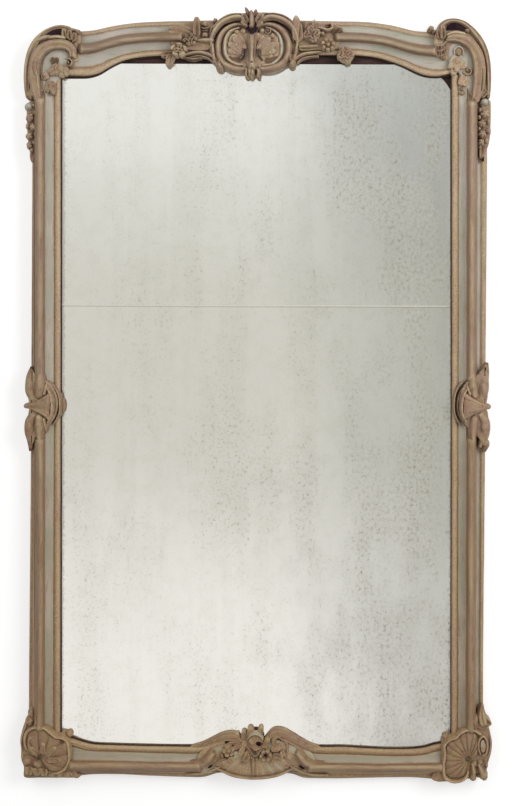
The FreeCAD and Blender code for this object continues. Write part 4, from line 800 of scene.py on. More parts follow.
def crest_shell():
    """Shell of the crest: a soft rim, leaves spread over a shallow dish, and a broad rib below a hollow, whose dark
    is painted shade.
    """
    bed = slab([(215, 66), (210, 52), (211, 36), (221, 22), (237, 14), (257, 12), (276, 13.5), (290, 22),
        (298, 36), (297, 52), (293, 62), (276, 68.4), (254, 71.4), (234, 68.6)], 0, 52, -0.1, 4)
    left = [(244, 24.4, 1.6, 63), (236, 23.8, 2.3, 66), (228.4, 26.4, 2.8, 68), (222, 32, 3.2, 69),
        (218.4, 40, 3.3, 69), (217.8, 48, 3.3, 69), (218.8, 55, 3.3, 69), (222.4, 61.4, 3.5, 69),
        (229.4, 65.8, 3.7, 69), (238, 68, 3.5, 68), (246, 68, 2.6, 67)]
    right = [(260.4, 24.8, 1.6, 63), (267.6, 23.4, 2.5, 66), (276.4, 25.4, 3.1, 68), (283.4, 30.8, 3.5, 69),
        (287.8, 38.8, 3.7, 69), (288.8, 47, 3.7, 69), (287.6, 54, 3.7, 69), (283.4, 61, 3.7, 69),
        (276, 65.6, 3.7, 69), (267, 67.8, 3.5, 68), (258.6, 67.6, 2.6, 67)]
    forms = [
        bed, sweep(left, 46, 20), sweep(right[::-1], 46, 20),
        sweep([(238.6, 27.4, 1.2, 64), (230.4, 30.6, 1.9, 67), (226, 37, 2.3, 68), (224.6, 46, 2.4, 68),
            (225.6, 54, 2.3, 68), (229.4, 59.8, 2.1, 66), (236.6, 63.6, 2.1, 66), (244.6, 64.8, 1.6, 66)], 50,
            40, 0.3),
        sweep([(266.4, 27, 1.2, 64), (274, 29.8, 1.6, 67), (279.6, 36, 1.9, 67), (281.4, 44, 2, 67),
            (281.2, 52, 2, 67), (278.6, 58, 1.9, 66), (272, 63.4, 2, 66), (262.6, 65, 1.6, 66)], 50, 40, 0.5),
        # These two near-black strips are painted shade in the groove between the outer and inner rims.
        sweep([(212.6, 45, 0.7, 62), (213.6, 38, 1.1, 66), (217.6, 30.6, 1.2, 68), (224.6, 23.6, 1.2, 68),
            (236, 20.4, 0.9, 66)], 46, 40, -1),
        sweep([(264.6, 20.8, 0.9, 66), (274.6, 20, 1.2, 68), (284.6, 24.4, 1.3, 68), (291.6, 32.4, 1.3, 68),
            (293.8, 42, 0.8, 64)], 46, 40, -1)]
    rim = [(229.6, 62.4), (226, 54), (225.4, 46), (227, 38), (231.4, 31.4), (238.6, 28), (246, 29.4),
        (251.6, 31), (257.4, 29.4), (264.4, 28), (272.4, 29.8), (278.6, 36), (280.4, 45), (280, 53),
        (276.4, 62.4)]
    forms += [
        fan((251.8, 66.5), rim, 9, [(0, 84), (0.12, 78), (0.3, 66), (0.5, 59), (0.72, 57), (0.88, 59),
            (0.96, 60), (1, 56)], 50, 0.02, 0.08, base=40, valley=0.3)]
    for x, turn in ((244.8, 1), (258.4, -1)):
        for angle, length, width, high in ((200, 16, 4, 63), (178, 18.2, 4.8, 67), (154, 19.6, 5.2, 69),
                (129, 19.4, 5, 69), (107, 17.6, 3.8, 66)):
            forms += [
                lobe(x, 51, angle if turn > 0 else 180 - angle, length, width, high, 0.03, 1, 48, 40, 0.5)]
        # The dark strip at the lobes' root is painted shade in a cleft.
        forms += [
            sweep([(x - 0.4 * turn, 48.6, 0.5, 76), (x - 1.4 * turn, 54.6, 0.8, 78),
                (x - 4.4 * turn, 59.6, 0.5, 72)], 60, 50, -0.8),
            *many(dome, [(x - 8.6 * turn, 44.6, 2, 2, 71, 0, 3, 0.3), (x - 11.4 * turn, 51.4, 1.8, 1.8, 69, 0,
                3, 0.3), (x - 6.2 * turn, 38, 1.8, 1.8, 70, 0, 3, 0.2)], seat=56, base=50)]
    # Painted shade: the dark slabs in the hollows beside the rib, the dark lines on the rib, the dark spot on its
    # knob and the near-black slab of the hollow at the top.
    forms += [
        slab([(229.4, 55.8), (235, 57), (240.6, 58), (244, 60.4), (240, 62.8), (234, 61.6), (230.4, 59.4)], 40,
            61, -0.45, 1.5),
        slab([(277.4, 56), (272, 56.8), (265.6, 57.8), (262.6, 60), (266, 62.8), (272, 62), (276.6, 59.6)], 40,
            61, -0.4, 1.5),
        sweep([(251.6, 31.4, 6.4, 64), (251.8, 36, 6.2, 68), (251.8, 42, 5.2, 72), (251.8, 50, 4.6, 77),
            (251.6, 58, 4.2, 83), (251.6, 64, 4, 87)], 50, 40),
        sweep([(248.6, 35, 0.5, 69), (249.4, 45, 0.6, 75), (249.8, 57, 0.5, 84)], 60, 50, -0.3),
        sweep([(254.8, 35, 0.5, 69), (254.2, 45, 0.6, 75), (253.6, 57, 0.5, 84)], 60, 50, -0.3),
        *many(dome, [(243.2, 30.4, 3.4, 3, 70, 20, 0), (236.6, 31.4, 3, 2.6, 68, -20, 3),
            (262, 30, 3, 2.8, 70, -20, 0), (272.6, 35, 3, 3.4, 68, 20, 3)], paint=0.1, seat=50),
        *volute(267.4, 30.6, 3.2, 70, 50, 20, 1.1, -1, 0.4),
        dome(251.6, 64.6, 4.8, 4.6, 86, creases=4, seat=50),
        dome(251.6, 61.6, 1.2, 1.2, 88, paint=-0.9, seat=80), dome(244.6, 65.2, 3.4, 2.8, 74, 10, seat=46),
        dome(259, 65.4, 3.4, 2.8, 74, -10, seat=46),
        slab([(245, 27.4), (247.6, 25.2), (252, 24.6), (256.4, 25.2), (258.6, 27.6), (256.6, 31.2), (252, 34),
            (247.4, 31.4)], 40, 70, -1, 1)]
    return forms


def crest_scroll(side):
    """Outer C scroll over a shoulder of the crest, with the knob that hangs at its foot."""
    if side < 0:
        path = [(211, 46, 1.8, 60), (211.2, 37.6, 2.8, 70), (214.6, 29.2, 3.4, 76), (221.4, 21.2, 3.7, 80),
            (230.2, 16.9, 3.7, 82), (238.6, 15.8, 3.4, 82), (243.4, 18, 2.6, 80)]
        return [
            sweep(path[::-1], 44, 4),
            sweep([(240, 13.2, 1, 78), (230.4, 13.9, 1.3, 78), (220.8, 18.6, 1.3, 76), (213.4, 26.4, 1.2, 72)],
                60, 4),
            dome(219.2, 65.2, 5, 4.8, 72, 20, 2, seat=30, base=26), lobe(216.6, 56, 276, 9.6, 3.6, 68, base=26),
            sweep([(214.6, 61, 2.4, 64), (213, 52, 2.8, 66), (212.4, 44, 2.2, 64)], 40, 10)]
    path = [(263, 18.4, 2.6, 80), (268, 15.9, 3.4, 82), (276.8, 16.2, 3.7, 82), (285.8, 20, 3.8, 80),
        (292.8, 27, 3.7, 76), (296.8, 36, 3.1, 70), (297.2, 45, 2, 62)]
    return [
        sweep(path[::-1], 44, 4),
        sweep([(266, 13, 1, 78), (276.8, 13.2, 1.3, 78), (287.2, 17, 1.3, 76), (295, 24.6, 1.2, 72)], 60, 4),
        dome(292.2, 61.8, 4.4, 4.6, 72, -20, 2, seat=30, base=26), lobe(292, 53, 268, 9, 3.4, 68, base=26),
        sweep([(294.2, 59, 2.2, 64), (296, 51, 2.4, 66), (297, 43, 1.8, 62)], 40, 10)]


def crest_finial():
    """Leaf tuft at the top of the crest, over the hollow that is painted dark as shade."""
    return [
        sweep([(251.6, 25.4, 2.8, 80), (251.6, 19, 3.7, 88), (251.4, 14.4, 3.2, 86), (251.2, 11.4, 2.2, 78)],
            44, 6),
        lobe(246.8, 22.6, 114, 12.4, 4.2, 84, seat=40, base=6),
        *many(lobe, [(256.8, 22.8, 64, 13.4, 4.4, 84, 0, 2, 40, 6, 0.7, 0), (250, 15.4, 118, 10.8, 2.2, 74, 0,
            1, 40, 6, 0.7, 2), (254.6, 15.4, 78, 7.4, 2.4, 80, 0, 1, 40, 6, 0.7, 0)]),
        lobe(246.4, 23, 160, 6.4, 2.8, 82, 0.1, 1, 44, 6), lobe(257, 23.2, 20, 6.4, 2.8, 82, 0.1, 1, 44, 6),
        dome(246, 24.6, 2.4, 2, 82, seat=46, base=6), dome(257.6, 24.8, 2.4, 2, 82, seat=46, base=6),
        dome(251, 24.8, 2.8, 2.2, 86, seat=46, base=20)]


def crest_pendant():
    """Leaf below the crest with its two feet over the glass."""
    return [
        slab([(244.6, 67), (252, 64), (259.6, 67), (260.6, 73.6), (258.8, 77), (252, 75), (246.4, 77.4),
            (244.4, 73.6)], 27.6, 44),
        leaf([(250.8, 68, 4.2, 76), (250.6, 71.6, 4.8, 74), (250.4, 74.4, 3.4, 66)], cut=0.05, groove=0.2,
            base=27.6),
        sweep([(247.6, 67.6, 1.8, 68), (246, 71.4, 2, 69), (246.4, 75.4, 2, 62), (248, 76.6, 1.4, 56)],
            base=27.6),
        sweep([(256.6, 67.6, 2, 70), (258.4, 70.8, 2.2, 71), (258, 75, 2.2, 64), (259.4, 76.8, 1.4, 56)],
            base=27.6),
        dome(259, 70, 2.4, 2.6, 69, base=27.6)]


def left_spray():
    return [
        slab([(168, 26), (186, 22.6), (212, 21), (216, 30), (215, 46), (206, 50), (190, 50), (174, 46),
            (168, 36)], 0, 54, -0.05, 4),
        lobe(200.4, 36.4, 167, 35.6, 7.4, 66, -0.02, 4, 38, 20), lobe(196.4, 37, 91, 24.4, 4.2, 75, base=6),
        dome(204.2, 23.4, 3.9, 3.4, 74, 10, 3, seat=30, base=6),
        sweep([(200.6, 27.4, 1, 68), (204.4, 27.9, 1.3, 73), (208, 27.4, 1, 68)], base=10),
        sweep([(200.8, 30, 0.9, 66), (204.4, 30.4, 1.2, 71), (207.8, 30, 0.9, 66)], base=10),
        dome(204.4, 33.6, 3.6, 3, 77, creases=4, paint=0.12, seat=40, base=20),
        dome(215, 19.2, 2.8, 3.2, 74, 10, 2, seat=30, base=6), lobe(212, 37.4, 84, 15.4, 3.2, 70, base=6),
        sweep([(198, 39.8, 2.4, 62), (205, 39.2, 3.2, 71), (212, 39.4, 3, 69)], 40, 20),
        # Near-black spot: painted shade in a hollow.
        dome(213.6, 40.4, 1.4, 2.6, 66, paint=-0.9, seat=50),
        # This blossom and the buds and leaves around it are painted darker brown: painted shade, as the blossom
        # lies in shadow.
        flower(189.6, 38.6, 7.4, 6, 74, 38, 12, -0.3, 20, 0.86),
        *many(dome, [(184.6, 34, 3.4, 2.6, 72, 20, 3, -0.25), (194.4, 34, 3, 2.6, 76, -20, 3, -0.3),
            (183.2, 39.8, 2.8, 2.6, 70, 0, 3, -0.25)], seat=44, base=20),
        *many(lobe, [(189.6, 38.6, 40, 6.4, 2.6, 79), (189.6, 38.6, 160, 6.4, 2.6, 79),
            (189.6, 38.6, 280, 5.4, 2.6, 78)], paint=-0.15, seat=44, base=20),
        flower(178.2, 48.6, 8.6, 5, 74, 36, 15, 0.14, 20, 0.84),
        *many(lobe, [(178.2, 48.6, 70, 6, 2.6, 77), (178.2, 48.6, 200, 6, 2.6, 77),
            (178.2, 48.6, 320, 6, 2.6, 77)], paint=0.2, seat=40, base=20),
        lobe(171.4, 53, 246, 13.2, 4.2, 62, flutes=3, base=28), lobe(171.4, 52.4, 192, 12.6, 2.8, 58, base=28),
        # Dark strip along the sight edge: painted shade.
        sweep([(183.6, 56.6, 1.2, 48), (192, 58.4, 1.8, 52), (200.6, 57.6, 1.2, 50)], base=28, paint=-0.4),
        sweep([(185, 54.2, 1.4, 54), (195, 51.8, 2.1, 58), (205.4, 52.6, 2.4, 60), (213, 56.4, 2.2, 62),
            (217.4, 61.4, 1.4, 60)], 40, 28),
        sweep([(190, 56.8, 0.9, 48), (198.6, 55.6, 1.2, 52), (206.6, 57, 1.2, 54), (213.4, 61.6, 0.9, 54)],
            base=28)]


def right_spray():
    forms = [
        slab([(294, 21), (304, 21), (320, 22.6), (340, 26), (341, 36), (336, 48), (314, 50), (300, 50),
            (296, 40)], 0, 54, -0.05, 4),
        lobe(298.6, 41, 98, 27.4, 6.4, 76, flutes=3, seat=36, base=6, curl=-2)]
    for k, angle in enumerate((18, 62, 104, 148, 192, 238, 286, 334)):
        forms += [
            lobe(311.8, 33.2, angle, 10 - k % 2 * 1.2, 4.4, 75 - k % 2 * 5, -0.1 * (k % 2), seat=46, base=10)]
    for k, angle in enumerate((40, 120, 205, 290)):
        forms += [lobe(311.8, 33.2, angle, 6.4, 3, 80, -0.02, seat=50, base=20)]
    forms += [
        lobe(313.4, 30, 84, 12, 2.6, 72, flutes=1, seat=40, base=6),
        lobe(306.8, 30, 92, 10.4, 2.6, 70, flutes=1, seat=40, base=6),
        sweep([(314, 27, 1.6, 66), (321, 27.4, 2.3, 73), (327.6, 29.2, 2.5, 75), (332, 27, 2.1, 73),
            (330.6, 23.4, 1.7, 70), (326.8, 24.2, 1.2, 68)], 38, 6),
        dome(327.4, 26.4, 1.5, 1.5, 66, seat=38, base=20),
        lobe(332.4, 33.6, 32, 13.2, 3, 66, -0.35, seat=38, base=10),
        dome(322.4, 32.6, 3.4, 3, 72, creases=3, paint=-0.1, seat=40, base=20),
        sweep([(300, 46.4, 1.8, 62), (308, 45.8, 2.4, 67), (317, 45.4, 2, 65)], 38, 20),
        flower(328.2, 43.6, 7.4, 7, 79, 40, 10, 0.08, 20, 0.94),
        dome(328.2, 43.6, 2.8, 2.6, 84, creases=3, paint=0.1, seat=50, base=20)]
    for k, angle in enumerate((10, 58, 100, 146, 194, 240, 290, 332)):
        forms += [
            lobe(345.8, 53.8, angle, 9.6 - k % 2 * 1.2, 4.3, 66 - k % 2 * 5, 0.02 + 0.1 * (k % 2), seat=40,
                base=28)]
    for k, angle in enumerate((34, 124, 214, 304)):
        forms += [lobe(345.8, 53.8, angle, 6, 2.8, 70, 0.05, seat=44, base=28)]
    forms += [
        sweep([(291.4, 62.8, 1.4, 62), (295.8, 57.8, 2.2, 62), (302.6, 53.8, 2.4, 60), (311, 52.2, 2.1, 58),
            (320.6, 51.4, 1.4, 54)], 40, 28),
        sweep([(297.4, 61.8, 0.9, 54), (302.4, 58, 1.2, 54), (310, 56.2, 1.1, 52), (318, 55.6, 0.9, 48)],
            base=28)]
    return forms


def basket_bowl():
    rim = [(217, 764), (222, 769.8), (230, 774.4), (241, 777.2), (254, 778.2), (268, 777.4), (279, 774.2),
        (287.6, 769.6), (292.6, 763.4)]
    bed = slab([(196, 772), (199, 754), (212, 747), (232, 742), (256, 740), (280, 741), (300, 749), (313, 755),
        (316, 771), (300, 773), (290, 772.6), (276, 777.6), (254, 779.8), (234, 778), (219.6, 772.4),
        (206, 774)], 0, 52, 0.4, 4)
    return [
        bed,
        fan((254.6, 748), rim, 8, [(0, 60), (0.35, 62), (0.6, 62.5), (0.8, 62.5), (0.92, 60), (1, 54)], 46,
            0.02, 0.1, 0.1, 4, 0.8),
        sweep([(214.6, 767.2, 1.8, 56), (220.4, 771, 2.4, 61), (230.4, 775.6, 2.9, 64), (243, 778.2, 3, 65),
            (255, 779, 3, 65), (268, 778, 3, 65), (280, 775.2, 2.9, 64), (289.6, 770.8, 2.4, 61),
            (295.4, 766.6, 1.8, 56)], 26, 4),
        sweep([(253.2, 757, 2.6, 66), (253, 766, 3.2, 69), (253.2, 773.6, 2.6, 67)], 50, 40)]


def basket_flowers():
    return [
        dome(254.8, 744.4, 8.4, 9.2, 80, seat=50),
        # Pale line along the ball's top: a painted highlight.
        sweep([(247.4, 739.8, 0.7, 76), (250.2, 736.4, 1, 80), (254.8, 735, 1.1, 82), (259.8, 736.4, 1, 80),
            (262.6, 740, 0.7, 76)], 60, 50, 0.5),
        # Near-black dome on the ball's right: painted shade in its cavity.
        dome(258.4, 744.8, 3.6, 2.2, 85, -25, paint=-0.85, seat=70),
        dome(251, 743, 2.6, 3.4, 83, 20, paint=0.1, seat=70),
        sweep([(247.6, 748.4, 0.8, 74), (251.4, 753.2, 1.1, 78), (255, 756.8, 0.9, 76)], 60, 50),
        sweep([(262.2, 748.4, 0.8, 74), (258.8, 753.2, 1.1, 78), (255.4, 756.8, 0.9, 76)], 60, 50),
        # Dark strip between the two lines below the ball: painted shade in the groove.
        sweep([(250.4, 748, 0.7, 78), (252.8, 751.4, 0.8, 80), (255, 754.4, 0.6, 79)], 60, 50, -0.6),
        *many(lobe, [(244.4, 741.4, 98, 10, 3.6, 60), (250.6, 740.2, 94, 12.4, 4.2, 63),
            (258.8, 740.4, 80, 13.4, 3.4, 61), (237.8, 742.6, 102, 9, 3, 57), (266.4, 742.4, 60, 10, 2.8, 58)],
            seat=36, base=27.6),
        flower(228.4, 752, 6.2, 5, 70, 46, 30),
        # The two dark domes after the flower's button are painted shade in small hollows.
        *many(dome, [(228.4, 752, 2.4, 2.2, 75, 0, 0, 0.1, 50), (226.4, 742.8, 2.6, 1.8, 60, 10, 0, -0.8, 44),
            (233.6, 746.8, 2.8, 1.3, 62, -20, 0, -0.8, 44)]),
        sweep([(221, 746.8, 1.2, 58), (226, 746, 1.8, 64), (231.4, 743, 1.8, 64), (236.4, 743.4, 1.4, 62)], 44,
            30),
        lobe(240.6, 744.4, 214, 10.2, 3.2, 66, seat=44, base=30),
        lobe(243, 748, 246, 10.4, 3.2, 69, 0.1, seat=44, base=30),
        slab([(234, 751.6), (240.8, 752.8), (241.2, 760), (236.6, 763), (233.6, 758)], 40, 60, 0.85, 1.5),
        lobe(248.4, 755.4, 236, 10.4, 4, 72, seat=46, base=30),
        lobe(246, 760.4, 206, 7.4, 2.8, 68, seat=46, base=30),
        dome(244.2, 763.2, 2.8, 2.4, 68, creases=2, seat=46),
        lobe(231.6, 757.4, 244, 8.4, 3, 66, 0.1, seat=46, base=30),
        lobe(226.6, 760.8, 202, 13.6, 3.8, 62, seat=44, base=30),
        dome(222.2, 756.8, 2.6, 2.8, 62, creases=2, seat=44), flower(265.4, 756.4, 6.4, 6, 74, 46, 5),
        # Near-black button of the right flower: painted shade in its hollow middle.
        dome(265.4, 756.4, 2, 2, 74, paint=-0.85, seat=60),
        lobe(263.4, 749.4, 62, 12.4, 3.6, 76, seat=46, base=30),
        sweep([(282.4, 740.4, 1.8, 64), (277.8, 737.8, 2.3, 70), (273.8, 740.2, 2.6, 73),
            (273.2, 744.6, 2.4, 72), (276.2, 747.6, 2, 70), (279.6, 746, 1.4, 68)], 44, 30),
        sweep([(284.4, 740.6, 1.2, 62), (287, 745.4, 1.8, 65), (287.2, 751.4, 1.3, 60)], 44, 30),
        lobe(270.6, 750.4, 8, 12.4, 3.2, 72, 0.05, seat=46, base=30),
        lobe(272.4, 755.4, 342, 12.8, 3.2, 70, seat=46, base=30),
        dome(276.4, 758.6, 3, 2.6, 68, creases=2, seat=46), dome(272.2, 762, 3, 2.4, 68, creases=2, seat=46),
        lobe(279.6, 760.6, 338, 14, 3.8, 62, seat=44, base=30),
        lobe(281, 751, 300, 8, 2.8, 64, 0.1, seat=44, base=30),
        dome(256.4, 759.8, 2.6, 2, 72, creases=2, seat=50), dome(251.6, 758.4, 2.4, 2, 72, creases=2, seat=50)]


def basket_scroll(side):
    """Sight moulding that lifts beside the flowers, and the bulb where the torus ends."""
    if side < 0:
        return [
            sweep([(190, 748.8, 1.4, 42), (203, 746.2, 2.1, 48), (214, 742.4, 2.8, 56), (224, 739, 3.2, 62),
                (233, 738.8, 3.2, 66), (239.6, 742, 2.4, 66)], 36, 27.6, section=BAND),
            sweep([(204, 750.6, 1.2, 48), (213, 747.8, 1.8, 54), (221, 745.6, 1.8, 58), (228, 745, 1.4, 60)],
                36, 27.6),
            sweep([(190, 767.6, 4.6, 70), (200.4, 766, 5, 72), (207.6, 761.2, 5.4, 74),
                (211.6, 754.8, 4.6, 73)], 40, 10, ends=(False, True)),
            # Near-black dome: painted shade in the slot beside the torus's bulb.
            dome(210.4, 767.6, 3.4, 1.2, 62, 28, paint=-0.85, seat=44),
            sweep([(188, 774.6, 2.4, 48), (202, 773.6, 2.7, 52), (212.6, 770.6, 2.7, 57),
                (220.8, 766.8, 2.2, 59)], 30, 4)]
    return [
        sweep([(324, 749.6, 1.4, 42), (312, 748.2, 2.1, 48), (301.8, 745, 2.8, 56), (291.2, 739.8, 3.3, 62),
            (281.6, 735.6, 3.5, 66), (274, 735.4, 3.2, 68), (268.4, 739, 2.2, 66)], 36, 27.6, section=BAND),
        sweep([(308, 752, 1.2, 48), (300, 749, 1.8, 54), (292.6, 744.6, 1.9, 60), (285, 740.6, 1.6, 63)], 36,
            27.6),
        sweep([(324, 768.6, 4.6, 70), (312, 767, 5, 72), (303.2, 761.6, 5.4, 74), (298.6, 754.6, 4.6, 73)], 40,
            10, ends=(False, True)),
        # Near-black dome: painted shade in the slot beside the torus's bulb.
        dome(301.6, 768.6, 4, 1.2, 62, -28, paint=-0.85, seat=44),
        sweep([(326, 775.8, 2.4, 48), (312, 775, 2.7, 52), (300.6, 771.8, 2.7, 57), (290.4, 767, 2.2, 59)], 30,
            4)]


# Materials

class Nodes:
    """Short hand for building a material's nodes."""

    def __init__(self, name):
        self.material = bpy.data.materials.new(name)
        self.material.use_nodes = True
        self.tree = self.material.node_tree
        self.tree.nodes.clear()
        self.output = self.add("ShaderNodeOutputMaterial")
        self.place = self.add("ShaderNodeTexCoord").outputs["Object"]

    def add(self, kind, links=None, **settings):
        """New node: its settings, and for each input socket another node's output or a value."""
        node = self.tree.nodes.new(kind)
        for key, value in settings.items():
            setattr(node, key, value)
        for socket, value in (links or {}).items():
            self.put(node.inputs[socket], value)
        return node

    def put(self, socket, value):
        if isinstance(value, bpy.types.NodeSocket):
            self.tree.links.new(value, socket)
        elif isinstance(value, tuple) and len(value) == 3 and socket.type == "RGBA":
            socket.default_value = (*value, 1)
        else:
            socket.default_value = value

    def noise(self, scale, detail=4.0, rough=0.55, stretch=None, offset=0.0):
        vector = self.place
        if stretch or offset:
            vector = self.add("ShaderNodeMapping", {"Vector": vector, "Scale": stretch or (1, 1, 1),
                                                    "Location": (offset, offset, offset)}).outputs[0]
        links = {"Vector": vector, "Scale": scale, "Detail": detail, "Roughness": rough}
        return self.add("ShaderNodeTexNoise", links, noise_type="FBM", normalize=True).outputs["Fac"]

    def ramp(self, value, low, high, to_low=0.0, to_high=1.0):
        """Smooth step between two values."""
        return self.add("ShaderNodeMapRange", {"Value": value, "From Min": low, "From Max": high, "To Min": to_low,
                                               "To Max": to_high}, interpolation_type="SMOOTHSTEP").outputs[0]

    def math(self, operation, a, b=0.0, clamp=False):
        return self.add("ShaderNodeMath", {0: a, 1: b}, operation=operation, use_clamp=clamp).outputs[0]

    def times(self, a, b):
        return self.math("MULTIPLY", a, b)

    def total(self, a, b):
        """Sum that stays between 0 and 1."""
        return self.math("ADD", a, b, True)

    def mix(self, factor, a, b, blend="MIX"):
        node = self.add("ShaderNodeMix", data_type="RGBA", blend_type=blend)
        self.put(node.inputs[0], factor)
        self.put(node.inputs[6], a)
        self.put(node.inputs[7], b)
        return node.outputs[2]

    def stain(self, colour, value, low, high, share, tone):
        """Colour with a share of another tone where a value lies beyond low and high."""
        return self.mix(self.times(self.ramp(value, low, high), share), colour, tone)

    def shade(self, colour, factor, scale):
        """Colour multiplied by a scale of red, green and blue, as far as the factor says."""
        return self.mix(factor, colour, self.mix(1.0, colour, scale, "MULTIPLY"))

    def hollows(self, distance, samples):
        """1 in the open, less in hollows."""
        return self.add("ShaderNodeAmbientOcclusion", {"Distance": distance}, samples=samples).outputs["AO"]

    def bump(self, value, strength, distance, normal=None):
        links = {"Height": value, "Strength": strength, "Distance": distance}
        if normal:
            links["Normal"] = normal
        return self.add("ShaderNodeBump", links).outputs[0]

    def principled(self, **inputs):
        """Principled shader; an input's name is written with underscores."""
        return self.add("ShaderNodeBsdfPrincipled", {key.replace("_", " "): value for key, value in inputs.items()})

    def finish(self, shader):
        self.put(self.output.inputs[0], shader.outputs[0])
        return self.material


def srgb(r, g, b):
    """Linear colour of an sRGB one from 0 to 255."""
    return tuple(((c / 255 + 0.055) / 1.055) ** 2.4 if c > 10 else c / 255 / 12.92 for c in (r, g, b))


def carved_finish(name, along, scale):
    """Worn gilding over bole beside old grey-green paint, with dirt and painted shade in the hollows, painted
    highlights and glints, and near-black painted shade where the paint attribute is lowest; along stretches the
    wear.
    """
    n = Nodes(name)
    broad = n.noise(5, 4, 0.6)
    patch = n.noise(scale * 0.45, 5, 0.62, along, 3.1)
    rosy = n.noise(scale * 0.8, 4, 0.6, along, 8.3)
    streak = n.noise(scale * 1.1, 5, 0.6, along, 5.2)
    fine = n.noise(230, 5, 0.7, offset=1.7)
    attribute = n.add("ShaderNodeAttribute", attribute_name="paint").outputs["Fac"]
    # gilding: patches of yellow and red, streaks of bole, bright specks, pale ridges, painted glints of highlight
    # and dark specks
    gilt = n.mix(n.ramp(broad, 0.42, 0.58), srgb(151, 127, 102), srgb(156, 133, 116))
    for value, low, high, share, tone in (
            (patch, 0.46, 0.62, 0.75, (154, 136, 98)), (rosy, 0.48, 0.64, 0.75, (154, 118, 106)),
            (streak, 0.52, 0.66, 0.7, (128, 101, 77)), (fine, 0.54, 0.72, 0.25, (200, 182, 152)),
            (attribute, 0.02, 0.14, 0.4, (190, 166, 138))):
        gilt = n.stain(gilt, value, low, high, share, srgb(*tone))
    painted_glint = n.times(n.ramp(n.noise(340, 3, 0.6, offset=15.0), 0.55, 0.62), n.ramp(attribute, 0.02, 0.12))
    gilt = n.mix(n.times(painted_glint, 0.7), gilt, srgb(222, 196, 146))
    gilt = n.stain(gilt, n.noise(190, 4, 0.65, offset=19.0), 0.54, 0.66, 0.5, srgb(112, 86, 64))
    # Browner where the paint attribute falls below 0: a darker tone, and painted shade in creases and on the top
    # rail's torus.
    gilt = n.mix(n.ramp(attribute, 0.0, -0.4), gilt, srgb(104, 82, 62))
    # paint, in patches where the attribute says so
    paint = n.mix(n.ramp(broad, 0.38, 0.62), srgb(174, 168, 156), srgb(192, 184, 173))
    for value, low, high, share, tone in (
            (patch, 0.44, 0.6, 0.65, (166, 168, 150)), (streak, 0.52, 0.68, 0.6, (160, 148, 122)),
            (rosy, 0.56, 0.7, 0.45, (172, 156, 152))):
        paint = n.stain(paint, value, low, high, share, srgb(*tone))
    wobble = n.total(attribute, n.ramp(patch, 0.3, 0.7, -0.3, 0.3))
    colour = n.mix(n.ramp(wobble, 0.35, 0.65), gilt, paint)
    # Near-black where the paint attribute is lowest: painted shade in holes, pits, grooves and along the glass.
    colour = n.mix(n.ramp(attribute, -0.4, -0.85), colour, srgb(34, 18, 30))
    # rubbed edges, which are also painted highlights on the ridges, dirt and painted shade in the hollows from
    # occlusion, and a warmer tone towards the foot
    point = n.add("ShaderNodeNewGeometry").outputs["Pointiness"]
    rub_and_highlight = n.times(n.ramp(point, 0.515, 0.56), n.ramp(patch, 0.36, 0.58, 0.3, 1.0))
    colour = n.mix(n.times(rub_and_highlight, 0.5), colour, srgb(214, 196, 166))
    near, wide = n.hollows(0.008, 6), n.hollows(0.04, 4)
    dirt_and_shade = n.total(n.times(n.ramp(near, 0.75, 0.2), 0.4), n.times(n.ramp(wide, 0.5, 0.1), 0.16))
    colour = n.mix(dirt_and_shade, colour, srgb(98, 76, 65))
    height = n.add("ShaderNodeSeparateXYZ", {0: n.place}).outputs[2]
    colour = n.shade(colour, n.ramp(height, 0.9, -0.9), (0.86, 0.80, 0.70))
    craze = n.add("ShaderNodeTexVoronoi", {"Vector": n.place, "Scale": 160.0}, feature="DISTANCE_TO_EDGE")
    normal = n.bump(n.ramp(craze.outputs["Distance"], 0.0, 0.05), 0.12, 0.0006, n.bump(fine, 0.25, 0.0012))
    # Its specular level falls where the painted shade is darkest.
    return n.finish(n.principled(
        Base_Color=colour, Roughness=n.ramp(patch, 0.35, 0.7, 0.7, 0.5), Normal=normal, Metallic=0.05,
        Specular_IOR_Level=n.ramp(attribute, -0.3, -0.8, 0.35, 0.04)))


def wood(name, light, dark, scale, stretch=(1, 8, 8)):
    """Wood with its grain along the axis that isn't stretched."""
    n = Nodes(name)
    light, dark = srgb(*light), srgb(*dark)
    grain = n.noise(scale, 8, 0.62, stretch)
    ring = n.noise(scale * 0.35, 3, 0.5, stretch, 2.0)
    spill = n.noise(6, 4, 0.6, offset=7.0)
    colour = n.mix(n.ramp(grain, 0.36, 0.66), light, dark)
    colour = n.stain(colour, ring, 0.5, 0.7, 0.5, dark)
    colour = n.stain(colour, spill, 0.48, 0.75, 0.45, tuple(0.45 * c for c in dark))
    # Darker in hollows and where parts meet, from occlusion: painted shade.
    colour = n.stain(colour, n.hollows(0.03, 4), 0.8, 0.2, 0.7, tuple(0.25 * c for c in dark))
    return n.finish(n.principled(Base_Color=colour, Roughness=0.75, Normal=n.bump(grain, 0.35, 0.001),
                                 Specular_IOR_Level=0.25))


